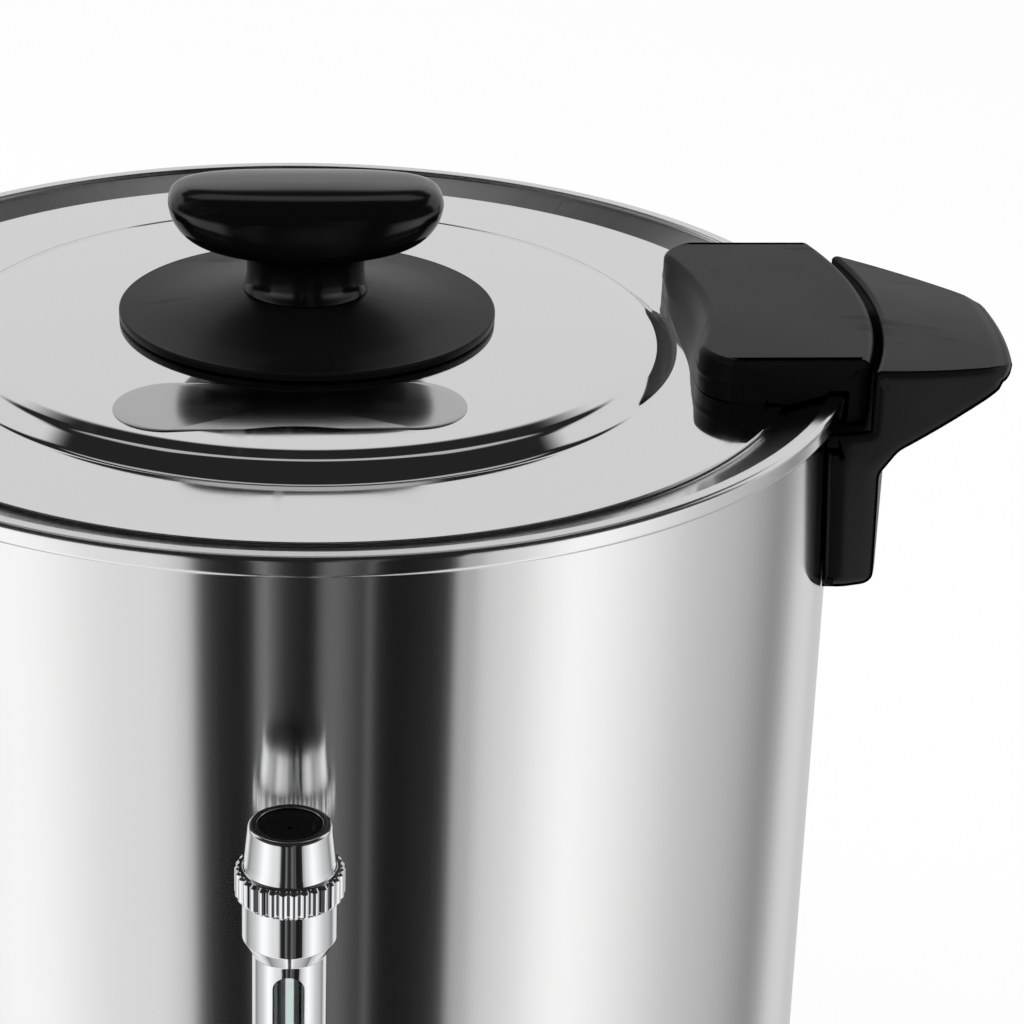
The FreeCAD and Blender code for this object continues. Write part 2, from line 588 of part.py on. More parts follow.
nut = hex_nut(shank_r * 3.0, 0, 5.0, shank_r + fit_gap)
nut.rotate(V(0, 0, 0), V(1, 0, 0), -90)
nut.translate(V(0, inner_face + 2.4 + fit_gap, tap_z))
keep("tap_nut", nut)

# Valve: seal, stem, spring and bonnet
seal_t = 3.0
seat_clear = 0.05
stem_base = seat_z + seat_clear
keep("tap_seal", ring(spout_bore_r + 1.6, stem_r * 0.5 + 0.2, stem_base, stem_base + seal_t, (0, tap_y)))
collar_z = stem_base + seal_t + run_gap
stem_top = pin_z - lever_hub_r - stem_lift - 0.6
keep("tap_stem", joined(
    rod(stem_r * 0.5, stem_base + 0.5, collar_z + 1, (0, tap_y)),
    rod(spout_bore_r + 1.2, collar_z, collar_z + 2.0, (0, tap_y)),
    rod(stem_r, collar_z + 1, stem_top, (0, tap_y))))
bonnet_r = chamber_r + 1.2
bonnet_top = chamber_top_z + 8.0
plug_z = chamber_top_z - 4.0
ear_in = lever_half_w + 0.3
ear_t = 2.4
clevis = []
for side in (-1, 1):
    x0, x1 = sorted((side * ear_in, side * (ear_in + ear_t)))
    clevis += [joined(block(x0, x1, tap_y - 5.5, tap_y + 5.5, bonnet_top - 1, pin_z),
                      along_x(5.5, x0, x1, tap_y, pin_z))]
bonnet = joined(
    spun((0, plug_z), (chamber_r - chamber_wall - fit_gap, plug_z),
         (chamber_r - chamber_wall - fit_gap, chamber_top_z + fit_gap), (bonnet_r, chamber_top_z + fit_gap),
         (bonnet_r, bonnet_top - 2.5), (bonnet_r - 2.5, bonnet_top), (0, bonnet_top), at=(0, tap_y)),
    *clevis)
bonnet = less(bonnet, rod(stem_r + run_gap, plug_z - 1, bonnet_top + 1, (0, tap_y)),
              along_x(pin_r + 0.02, -20, 20, tap_y, pin_z))
keep("tap_bonnet", bonnet)
keep("tap_pin", along_x(pin_r, -(ear_in + ear_t + 0.8), ear_in + ear_t + 0.8, tap_y, pin_z))
spring_r, wire_r, turns = stem_r + 2.2, 0.6, 4
spring_z0, spring_z1 = collar_z + 2.0 + wire_r + fit_gap, plug_z - wire_r - fit_gap
stations, sides = 14 * turns, 6
pitch = (spring_z1 - spring_z0) / turns
print("least gap between the spring's turns: %.2f mm" % (pitch - 2 * wire_r))


def wire_section(k):
    # the wire's six-sided section at station k of the helix
    a = 2 * math.pi * turns * k / stations
    z = spring_z0 + (spring_z1 - spring_z0) * k / stations
    corners = [(spring_r + wire_r * math.cos(b), z + wire_r * math.sin(b))
               for b in (2 * math.pi * i / sides for i in range(sides))]
    return [V(r * math.cos(a), tap_y + r * math.sin(a), up) for r, up in corners]


rings = [wire_section(k) for k in range(stations + 1)]
facets = [Part.Face(Part.makePolygon(ends + ends[:1])) for ends in (rings[0], rings[-1])]
for low_ring, high_ring in zip(rings, rings[1:]):
    for i in range(sides):
        j = (i + 1) % sides
        facets += [Part.Face(Part.makePolygon([low_ring[i], low_ring[j], high_ring[j], low_ring[i]])),
                   Part.Face(Part.makePolygon([low_ring[i], high_ring[j], high_ring[i], low_ring[i]]))]
spring = Part.Solid(Part.Shell(facets))
if spring.Volume < 0:
    spring.reverse()
keep("tap_spring", spring)

# Lever: a hub between the bonnet's ears and a flat black paddle
paddle_w, paddle_t = 8.0, 3.6
reach = lever_top_z - pin_z
blade = Part.Face(Part.makePolygon([V(x, tap_y, pin_z + z) for x, z in (
    (-lever_half_w + 0.2, 0), (lever_half_w - 0.2, 0), (lever_half_w - 0.2, 10), (paddle_w, 17),
    (paddle_w + 1.0, reach - 5), (paddle_w - 3, reach), (-paddle_w + 3, reach), (-paddle_w - 1.0, reach - 5),
    (-paddle_w, 17), (-lever_half_w + 0.2, 10), (-lever_half_w + 0.2, 0))]))
blade.translate(V(0, -paddle_t, 0))
lever = joined(along_x(lever_hub_r, -lever_half_w, lever_half_w, tap_y, pin_z),
               blade.extrude(V(0, 2 * paddle_t, 0)))
lever = soften(lever, 1.5, lambda e: e.BoundBox.ZMin > pin_z + 16 and e.BoundBox.YLength < 0.01)
lever = less(lever, along_x(pin_r + run_gap, -20, 20, tap_y, pin_z))
keep("tap_lever", lever)

# Level gauge: glass in a slotted guard with a knurled cap
glass_bottom = gauge_socket_z + 1.7
glass_top = H + knurl_top_z - 2.0
keep("gauge_washer_bottom", ring(glass_r + 0.5, glass_r - glass_wall, gauge_socket_z + fit_gap,
                                 glass_bottom - fit_gap, (0, gauge_y)))
keep("gauge_glass", ring(glass_r, glass_r - glass_wall, glass_bottom, glass_top, (0, gauge_y)))
guard_in = guard_r - guard_wall
spigot_out = collar_r - 2.0
guard_bottom = gauge_boss_top + fit_gap
guard = spun(
    (guard_in, guard_bottom), (guard_r, guard_bottom), (guard_r, H + collar_cone_z),
    (collar_r, H + collar_bottom_z), (collar_r, H + knurl_bottom_z - fit_gap),
    (spigot_out, H + knurl_bottom_z - fit_gap), (spigot_out, H + knurl_top_z), (guard_in, H + knurl_top_z),
    at=(0, gauge_y))
slot_bottom = gauge_boss_top + 14.0
slot_mid_top = H + slot_top_z - slot_half_w
slot = joined(block(-slot_half_w, slot_half_w, gauge_y - 20, gauge_y,
                    slot_bottom + slot_half_w, slot_mid_top),
              along_y(slot_half_w, gauge_y - 20, gauge_y, 0, slot_mid_top),
              along_y(slot_half_w, gauge_y - 20, gauge_y, 0, slot_bottom + slot_half_w))
keep("gauge_guard", guard.cut(slot))
cap_in_top = knurl_top_z + 2.2
cap_low_r = collar_r - 0.1
cap = spun(
    (spigot_out + 0.15, H + knurl_bottom_z), (knurl_r - 0.5, H + knurl_bottom_z),
    (knurl_r, H + knurl_bottom_z + 0.5), (knurl_r, H + knurl_top_z - 0.5), (knurl_r - 0.5, H + knurl_top_z),
    (cap_low_r, H + knurl_top_z), (cap_low_r - 0.2, H + knurl_top_z + 1.2),
    (cap_top_r + 0.25, H + cap_top_z - 0.8),
    ((cap_top_r + 0.1, H + cap_top_z - 0.2), (cap_top_r - 0.3, H + cap_top_z)),
    (cap_top_r - 0.9, H + cap_top_z), (cap_top_r - 0.9, H + cap_top_z - 1.6), (1.2, H + cap_top_z - 1.6),
    (1.2, H + cap_in_top), (spigot_out + 0.15, H + cap_in_top), at=(0, gauge_y))
teeth = 30
groove_r = 0.45
for k in range(teeth):
    a = 2 * math.pi * k / teeth
    spot = (knurl_r * math.cos(a), gauge_y + knurl_r * math.sin(a))
    notch = Part.makeBox(2 * groove_r, 2 * groove_r, knurl_top_z - knurl_bottom_z + 2,
                         V(-groove_r, -groove_r, H + knurl_bottom_z - 1))
    notch.rotate(V(0, 0, 0), V(0, 0, 1), 45 + math.degrees(a))
    notch.translate(V(spot[0], spot[1], 0))
    cap = cap.cut(notch)
keep("gauge_cap", cap)
keep("gauge_plug", ring(cap_top_r - 1.0, 0.6, H + cap_top_z - 1.5, H + cap_top_z - 0.5, (0, gauge_y)))
keep("gauge_washer_top", ring(spigot_out - 0.1, 2.5, H + knurl_top_z + fit_gap, H + cap_in_top - fit_gap,
                              (0, gauge_y)))

# Control panel at the front of the base, with the rocker switch and two lamps
panel_face = -(base_foot_r + panel_depth - 2.0)
panel = block(-panel_half_w, panel_half_w, panel_face, -base_foot_r + 14, panel_z0, panel_z1)
panel = soften(panel, 3.0, lambda e: e.BoundBox.YMax < panel_face + 0.01)
cone_gap = 0.15


def base_skin(grow):
    # the base ring's outside as a solid, grown by the gap asked for
    foot, top = base_foot_r + grow, base_top_r + grow
    return spun((0, base_bottom_z), (foot, base_bottom_z), (foot, base_bottom_z + 1.5),
                (top, base_top_z - 1.5), (top, base_top_z + 2), (0, base_top_z + 2))


skin = base_skin(cone_gap)
panel = panel.cut(skin)
panel_mid = (panel_z0 + panel_z1) / 2
switch_hole = block(switch_x - switch_half_w, switch_x + switch_half_w, panel_face - 5, -base_foot_r + 30,
                    panel_mid - switch_half_h, panel_mid + switch_half_h)
lamp_holes = [along_y(lamp_r, panel_face - 5, -base_foot_r + 30, x, panel_mid) for x in lamp_xs]
panel = less(panel, switch_hole, *lamp_holes)
keep("control_panel", panel)
window = block(-panel_half_w + 8, panel_half_w - 6, -base_foot_r - 5, -base_foot_r + 24,
               panel_z0 + 5, panel_z1 - 5)
base_ring = base_ring.cut(window)

sw, sh = switch_half_w - fit_gap, switch_half_h - fit_gap
bezel_t = 1.6
switch_body = joined(
    block(switch_x - sw, switch_x + sw, panel_face - bezel_t, panel_face + 18,
          panel_mid - sh, panel_mid + sh),
    block(switch_x - sw - 1.8, switch_x + sw + 1.8, panel_face - bezel_t, panel_face - fit_gap,
          panel_mid - sh - 1.8, panel_mid + sh + 1.8))
switch_body = joined(switch_body, *[block(switch_x - 0.4, switch_x + 0.4, panel_face + 17, panel_face + 25,
                                          panel_mid + z - 2.4, panel_mid + z + 2.4) for z in (-6, 6)])
rocker_w, rocker_h = sw - 1.5, sh - 1.5
rocker_r = rocker_h + 0.2
tray = block(switch_x - rocker_w - 0.2, switch_x + rocker_w + 0.2, panel_face - 5, panel_face + 9,
             panel_mid - rocker_h - 0.5, panel_mid + rocker_h + 0.5)
switch_body = switch_body.cut(tray)
pivot_y = panel_face + 4.0
pivot_r = 1.2
tilt = 8.0
switch_body = switch_body.cut(
    along_x(pivot_r + run_gap, switch_x - sw + 0.4, switch_x + sw - 0.4, pivot_y, panel_mid))
keep("switch_body", switch_body)
rocker_side = [(pivot_y + 3.0, -2.5), (pivot_y + 3.0, 2.5), (pivot_y - 2.0, rocker_h - 0.6),
               (pivot_y - 6.6, rocker_h - 0.8), (pivot_y - 5.0, 0), (pivot_y - 6.6, -rocker_h + 0.8),
               (pivot_y - 2.0, -rocker_h + 0.6)]
points = [V(switch_x - rocker_w, y, panel_mid + z) for y, z in rocker_side]
rocker = Part.Face(Part.makePolygon(points + points[:1])).extrude(V(2 * rocker_w, 0, 0))
rocker = joined(rocker, along_x(pivot_r, switch_x - sw + 0.5, switch_x + sw - 0.5, pivot_y, panel_mid))
rocker.rotate(V(switch_x, pivot_y, panel_mid), V(1, 0, 0), tilt)
keep("switch_rocker", rocker)
for x, name in zip(lamp_xs, ("lamp_power", "lamp_ready")):
    keep(name, joined(along_y(lamp_r - fit_gap, panel_face - 0.5, panel_face + 16, x, panel_mid),
                      along_y(lamp_r + 1.4, panel_face - 1.8, panel_face - fit_gap, x, panel_mid)))

# Power inlet at the back of the base
inlet_z = (panel_z0 + panel_z1) / 2
inlet_face = base_foot_r + 6.0
collar_w, collar_h = inlet_half_w + 2.4, inlet_half_h + 2.4
inlet = joined(
    block(-collar_w, collar_w, base_top_r - 14, inlet_face, inlet_z - collar_h, inlet_z + collar_h),
    block(-collar_w - 9, collar_w + 9, base_top_r - 6, inlet_face - 1.5, inlet_z - collar_h - 1.5,
          inlet_z + collar_h + 1.5).cut(base_skin(cone_gap)))
inlet = inlet.cut(block(-inlet_half_w, inlet_half_w, inlet_face - inlet_depth, inlet_face + 1,
                        inlet_z - inlet_half_h, inlet_z + inlet_half_h))
inlet_screw_x = collar_w + 5.0
inlet_screw_r = 1.7
for side in (-1, 1):
    inlet = inlet.cut(
        along_y(inlet_screw_r + 0.2, base_top_r - 20, inlet_face + 5, side * inlet_screw_x, inlet_z))
pins, pin_holes = [], []
for x, z in ((-7.0, -2.2), (7.0, -2.2), (0.0, 2.2)):
    pins.append(block(x - 1.0, x + 1.0, inlet_face - inlet_depth - 8, inlet_face - 2.0,
                      inlet_z + z - 2, inlet_z + z + 2))
    pin_holes.append(block(x - 1.05, x + 1.05, inlet_face - inlet_depth - 12, inlet_face - 1.0,
                           inlet_z + z - 2.05, inlet_z + z + 2.05))
inlet = less(inlet, *pin_holes)
keep("inlet_housing", inlet)
keep("inlet_pins", Part.makeCompound(pins))
base_ring = base_ring.cut(block(-collar_w - 0.3, collar_w + 0.3, base_top_r - 30, base_foot_r + 5,
                                inlet_z - collar_h - 0.3, inlet_z + collar_h + 0.3))
inlet_screws = []
for side in (-1, 1):
    x = side * inlet_screw_x
    base_ring = base_ring.cut(along_y(inlet_screw_r, base_top_r - 20, inlet_face, x, inlet_z))
    inlet_screws.append(joined(
        along_y(inlet_screw_r - fit_gap, base_top_r - 12, inlet_face - 1, x, inlet_z),
        along_y(inlet_screw_r * 1.8, inlet_face - 1.5 + fit_gap, inlet_face + 0.3, x, inlet_z)))
keep("inlet_screws", Part.makeCompound(inlet_screws))
keep("base_ring", base_ring)

for name, shape in parts.items():
    shape.exportStep("parts/%s.step" % name)
print(len(parts), "parts written")
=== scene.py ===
import math
import bpy
import bmesh
import numpy as np
from mathutils import Matrix, Vector


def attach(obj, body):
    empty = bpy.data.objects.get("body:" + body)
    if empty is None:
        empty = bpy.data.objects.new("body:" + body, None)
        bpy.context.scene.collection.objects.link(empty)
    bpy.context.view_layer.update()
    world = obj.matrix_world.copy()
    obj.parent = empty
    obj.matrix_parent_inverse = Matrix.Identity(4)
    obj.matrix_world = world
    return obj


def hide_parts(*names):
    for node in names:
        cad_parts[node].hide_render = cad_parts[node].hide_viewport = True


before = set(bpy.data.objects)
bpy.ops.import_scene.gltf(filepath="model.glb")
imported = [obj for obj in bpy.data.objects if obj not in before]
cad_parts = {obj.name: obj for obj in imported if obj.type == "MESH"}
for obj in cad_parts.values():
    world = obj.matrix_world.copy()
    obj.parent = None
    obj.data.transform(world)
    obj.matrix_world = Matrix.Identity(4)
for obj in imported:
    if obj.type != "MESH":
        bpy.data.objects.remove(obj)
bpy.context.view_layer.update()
scene = bpy.context.scene

# %% [markdown]
# # A polished hot water urn
# The urn is pressed and rolled from polished steel sheet. Almost everything that the eye
# reads on it is a reflection, so two things matter most here: surfaces whose curvature is
# exact, and a calm studio with something bright and something dark for the steel to show.
# The moulded black pieces are the opposite: their form is read from soft edges and a fine
# satin grain. The measurements below are millimetres on the real object, with z counted
# up from the plane that it stands on.

# %% Sizes that several pieces share
MM = 0.001
H = 392.0                       # top of the rolled rim
SHELL_R = 122.4                 # outside of the shell
LID_TURN = math.radians(3.1)    # the lid as photographed, turned past the handles
GAUGE_Y = -141.0                # axis of the level gauge
TAP_Y, TAP_Z = -176.0, 118.0    # axis of the valve, and height of the tube that feeds it

# %% [markdown]
# ## Three ways to make a surface
# Every new piece is a grid of points worked out at once with numpy. Three families cover
# the whole urn. A profile carried round an axis gives what a lathe or a metal spinner
# makes. A flat outline with a thickness gives plates and paddles. A section carried
# along a line gives the moulded ears and handles. Doing it with formulas instead of
# pushing points by hand keeps each size readable and lets an edge radius be one number.


# %% Rounding the corners of an outline
def rounded(corners, closed=True, steps=6, hold=0.12):
    """Corners are rows of (a, b, radius). Each corner becomes an arc that touches both
    of its sides: it starts at distance radius / tan(half the angle) from the corner, and
    its centre lies on the bisector at radius / sin(half the angle). One more point is
    put just before and just after each arc, so that flat faces keep a flat shine."""
    c = np.array([(*p, 0.0)[:3] for p in corners], float)
    p, r = c[:, :2], c[:, 2].copy()
    back, ahead = np.roll(p, 1, 0) - p, np.roll(p, -1, 0) - p
    lb, la = np.linalg.norm(back, axis=1), np.linalg.norm(ahead, axis=1)
    if not closed:
        r[[0, -1]] = 0.0
    ub, ua = back / lb[:, None], ahead / la[:, None]
    half = np.arccos(np.clip((ub * ua).sum(1), -1, 1)) / 2
    r[half > math.pi / 2 - 0.01] = 0.0
    reach = np.minimum(r / np.tan(half), 0.47 * np.minimum(lb, la))
    r = reach * np.tan(half)
    middle = ub + ua
    middle /= np.maximum(np.linalg.norm(middle, axis=1), 1e-9)[:, None]
    centre = p + middle * (r / np.sin(half))[:, None]
    a, b = p + ub * reach[:, None] - centre, p + ua * reach[:, None] - centre
    turn = math.pi - 2 * half
    s = np.linspace(0, 1, steps + 1)[None, :, None]
    t = np.where(turn > 1e-6, turn, 1.0)[:, None, None]
    arc = (np.sin((1 - s) * t) * a[:, None] + np.sin(s * t) * b[:, None]) / np.sin(t) + centre[:, None]
    keep = (r > 1e-6)[:, None, None]
    arc = np.where(keep, arc, p[:, None])
    gap = np.minimum(hold, 0.2 * np.minimum(lb, la))[:, None]
    before = np.where(keep[:, 0], p + ub * (reach[:, None] + gap), p)
    after = np.where(keep[:, 0], p + ua * (reach[:, None] + gap), p)
    rows = np.concatenate([before[:, None], arc, after[:, None]], 1).reshape(-1, 2)
    step = np.linalg.norm(rows - np.roll(rows, 1, 0), axis=1)
    if not closed:
        step[0] = 1.0
    return rows[step > 1e-6]


# %% Turning a grid of points into a closed mesh
def grid_faces(rows, columns, wrap_rows, wrap_columns):
    """Each face joins point (i, j) to its neighbours (i, j+1), (i+1, j+1), (i+1, j)."""
    i, j = np.meshgrid(np.arange(rows if wrap_rows else rows - 1),
                       np.arange(columns if wrap_columns else columns - 1), indexing="ij")
    i, j = i.ravel(), j.ravel()
    i2, j2 = (i + 1) % rows, (j + 1) % columns
    return np.stack([i * columns + j, i * columns + j2, i2 * columns + j2, i2 * columns + j], 1)


def smooth_object(name, mesh, sharp):
    """Puts the mesh into the scene, smooth but for edges steeper than sharp degrees."""
    mesh.shade_smooth()
    mesh.set_sharp_from_angle(angle=math.radians(sharp))
    obj = bpy.data.objects.new(name, mesh)
    scene.collection.objects.link(obj)
    return obj


def mesh_object(name, parts, sharp=38):
    """Joins (points in mm, faces) pairs into one object in metres. Points that coincide
    are merged, which closes seams and poles, and edges steeper than sharp stay crisp."""
    points, faces, start = [], [], 0
    for p, f in parts:
        points.append(np.asarray(p, float).reshape(-1, 3))
        faces += (f + start).tolist()
        start += len(points[-1])
    mesh = bpy.data.meshes.new(name)
    mesh.from_pydata((np.concatenate(points) * MM).tolist(), [], faces)
    bm = bmesh.new()
    bm.from_mesh(mesh)
    bmesh.ops.remove_doubles(bm, verts=bm.verts, dist=2e-7)
    bmesh.ops.dissolve_degenerate(bm, edges=bm.edges, dist=1e-8)
    bmesh.ops.recalc_face_normals(bm, faces=bm.faces)
    bm.to_mesh(mesh)
    bm.free()
    mesh.validate()
    return smooth_object(name, mesh, sharp)


# %% A profile carried round an axis
def turned(profile, at=(0, 0), steps=256, closed=True, axis="z", ripple=None):
    """A point of the profile at radius r and height h goes to (r cos a, r sin a, h) for
    every angle a. With axis "y" or "x" the height runs along that axis instead. ripple
    is a function (radius, angle) -> radius for teeth."""
    profile = np.asarray(profile, float)
    a = np.linspace(0, 2 * math.pi, steps, endpoint=False)
    r, h, a = np.broadcast_arrays(profile[:, :1], profile[:, 1:2], a[None])
    r = r if ripple is None else ripple(r, a)
    u, v = r * np.cos(a), r * np.sin(a)
    first, second = at
    grid = {"z": (u + first, v + second, h),
            "y": (v + first, h, u + second),
            "x": (h, u + first, v + second)}[axis]
    return np.stack(grid, -1), grid_faces(len(profile), steps, closed, True)


# %% A flat outline with a thickness
def outward(outline):
    """The unit vector away from a counter-clockwise outline at each of its points."""
    along = np.roll(outline, -1, 0) - np.roll(outline, 1, 0)
    out = np.stack([along[:, 1], -along[:, 0]], 1)
    return out / np.maximum(np.linalg.norm(out, axis=1), 1e-9)[:, None]


def slab(plan, low, high, edge=0.5, steps=4, place=None, fill=(0.93, 0.6, 0.25)):
    """The outline (n, 2) is drawn in by edge * (1 - cos t) while it climbs by
    edge * sin t, which rounds the rim by a quarter circle, and both lids are rings that
    shrink to the middle. low and high are heights, or functions of the plan's (a, b).
    place sends (a, b, height) to where the piece is."""
    plan = np.asarray(plan, float)
    out = outward(plan)
    low_f = low if callable(low) else (lambda a, b: np.full_like(a, low))
    high_f = high if callable(high) else (lambda a, b: np.full_like(a, high))
    middle = (plan.min(0) + plan.max(0)) / 2
    rings = []

    def ring(inset, height, pull=1.0):
        q = plan - out * inset
        q = middle + (q - middle) * pull
        rings.append(np.column_stack([q, height(q[:, 0], q[:, 1])]))

    for f in (0.0, *sorted(fill)):
        ring(edge, low_f, f)
    for t in np.linspace(0, math.pi / 2, steps + 1):
        ring(edge * (1 - math.sin(t)), lambda a, b, t=t: low_f(a, b) + edge * (1 - math.cos(t)))
    for t in np.linspace(0, math.pi / 2, steps + 1):
        ring(edge * (1 - math.cos(t)), lambda a, b, t=t: high_f(a, b) - edge * (1 - math.sin(t)))
    for f in (*sorted(fill, reverse=True), 0.0):
        ring(edge, high_f, f)
    grid = np.stack(rings)
    if place is not None:
        grid = np.stack(place(grid[..., 0], grid[..., 1], grid[..., 2]), -1)
    return grid, grid_faces(len(rings), len(plan), False, True)


# %% A section that changes along a line
def facing(lower, upper):
    """Two open outlines that run side by side become one closed section. Each gets a new
    point wherever the other has one, at the same share of its length, so that every
    point has a partner across the section."""
    def shares(line):
        run = np.concatenate([[0.0], np.cumsum(np.linalg.norm(np.diff(line, axis=0), axis=1))])
        return run / run[-1]
    lower, upper = np.asarray(lower, float), np.asarray(upper, float)
    sa, sb = shares(lower), shares(upper)
    every = np.unique(np.round(np.concatenate([sa, sb]), 5))
    a = np.column_stack([np.interp(every, sa, lower[:, k]) for k in (0, 1)])
    b = np.column_stack([np.interp(every, sb, upper[:, k]) for k in (0, 1)])
    return np.concatenate([a, b[::-1]])


def swept(section, stations, place, edge=0.8, steps=5, across=9, under=1.0):
    """section (n, 2) comes from facing. At each station v from -1 to 1 it is passed to
    place(a, b, v, short), which returns x, y and z. Near both ends the section is drawn
    in by edge * (1 - cos t), so that the end faces meet the sides in a round, and each
    end is closed by a grid of points between partners. The lower outline is drawn in by
    the share under of that, so that an underside can keep a sharper edge."""
    out = outward(section)
    half = len(section) // 2
    out[:half] *= under
    rows = [(edge * (1 - math.cos(t)), -1.0, edge * (1 - math.sin(t)))
            for t in np.linspace(math.pi / 2, 0, steps + 1)]
    rows += [(0.0, v, 0.0) for v in stations]
    rows += [(draw_in, -v, short) for draw_in, v, short in rows[:steps + 1][::-1]]
    grid = np.stack([np.stack(place(*(section - out * draw_in).T, v, short), -1)
                     for draw_in, v, short in rows])
    parts = [(grid, grid_faces(len(grid), len(section), False, True))]
    mix = np.linspace(0, 1, across)[:, None, None]
    inner = section - out * edge
    for v in (-1.0, 1.0):
        net = inner[None, :half] * (1 - mix) + inner[None, half:][:, ::-1] * mix
        end = np.stack(place(net[..., 0], net[..., 1], v, 0.0), -1)
        parts.append((end, grid_faces(across, half, False, False)))
    return parts


# %% Softening a solid that is already right
def eased(name, node, width, segments=2):
    """Copies a solid, merges its loose triangles and rounds each edge steeper than 32
    degrees by width, as a tool or a mould would leave it."""
    bm = bmesh.new()
    bm.from_mesh(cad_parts[node].data)
    bmesh.ops.remove_doubles(bm, verts=bm.verts, dist=1e-6)
    bmesh.ops.dissolve_limit(bm, angle_limit=math.radians(0.6), verts=bm.verts, edges=bm.edges)
    mesh = bpy.data.meshes.new(name)
    bm.to_mesh(mesh)
    bm.free()
    obj = smooth_object(name, mesh, 30)
    bevel = obj.modifiers.new("eased edges", "BEVEL")
    bevel.width = width * MM
    bevel.segments = segments
    bevel.limit_method = "ANGLE"
    bevel.angle_limit = math.radians(32)
    bevel.harden_normals = True
    return obj


# %% Hanging a piece on its body
def fitted(obj, body, finish, slot, *replaced):
    """Hangs a piece on the body that carries it, gives it its finish and hides the plain
    solids that it stands for."""
    obj.data.materials.clear()
    obj.data.materials.append(finish.material)
    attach(obj, body)
    if replaced:
        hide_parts(*replaced)
    print(f"{obj.name}: {len(obj.data.vertices)} points, {len(obj.data.polygons)} faces")


# %% [markdown]
# ## Shader arithmetic
# A finish is a few patterns added and multiplied together. Writing that with nodes takes
# four lines for each sum, so a small class lets a shader socket be used like a number.


# %% Sockets that can be added and multiplied
def feed(tree, slots, values):
    """Links each slot to its socket, or sets it where the value is a number."""
    for slot_in, value in zip(slots, values):
        if isinstance(value, Socket):
            tree.links.new(value.out, slot_in)
        else:
            slot_in.default_value = value


class Socket:
    """A value inside one material. The usual signs build Math nodes behind it."""

    def __init__(self, tree, out):
        self.tree, self.out = tree, out

    def math(self, kind, *others):
        node = self.tree.nodes.new("ShaderNodeMath")
        node.operation = kind
        feed(self.tree, node.inputs, (self, *others))
        return Socket(self.tree, node.outputs[0])

    def __add__(self, other): return self.math("ADD", other)
    def __sub__(self, other): return self.math("SUBTRACT", other)
    def __mul__(self, other): return self.math("MULTIPLY", other)
    def __truediv__(self, other): return self.math("DIVIDE", other)
    __radd__ = __add__
    __rmul__ = __mul__

    def step(self, start, end, low=0.0, high=1.0):
        """Climbs smoothly from low at start to high at end."""
        node = self.tree.nodes.new("ShaderNodeMapRange")
        node.interpolation_type = "SMOOTHSTEP"
        self.tree.links.new(self.out, node.inputs["Value"])
        for key, value in zip(("From Min", "From Max", "To Min", "To Max"), (start, end, low, high)):
            node.inputs[key].default_value = value
        return Socket(self.tree, node.outputs["Result"])


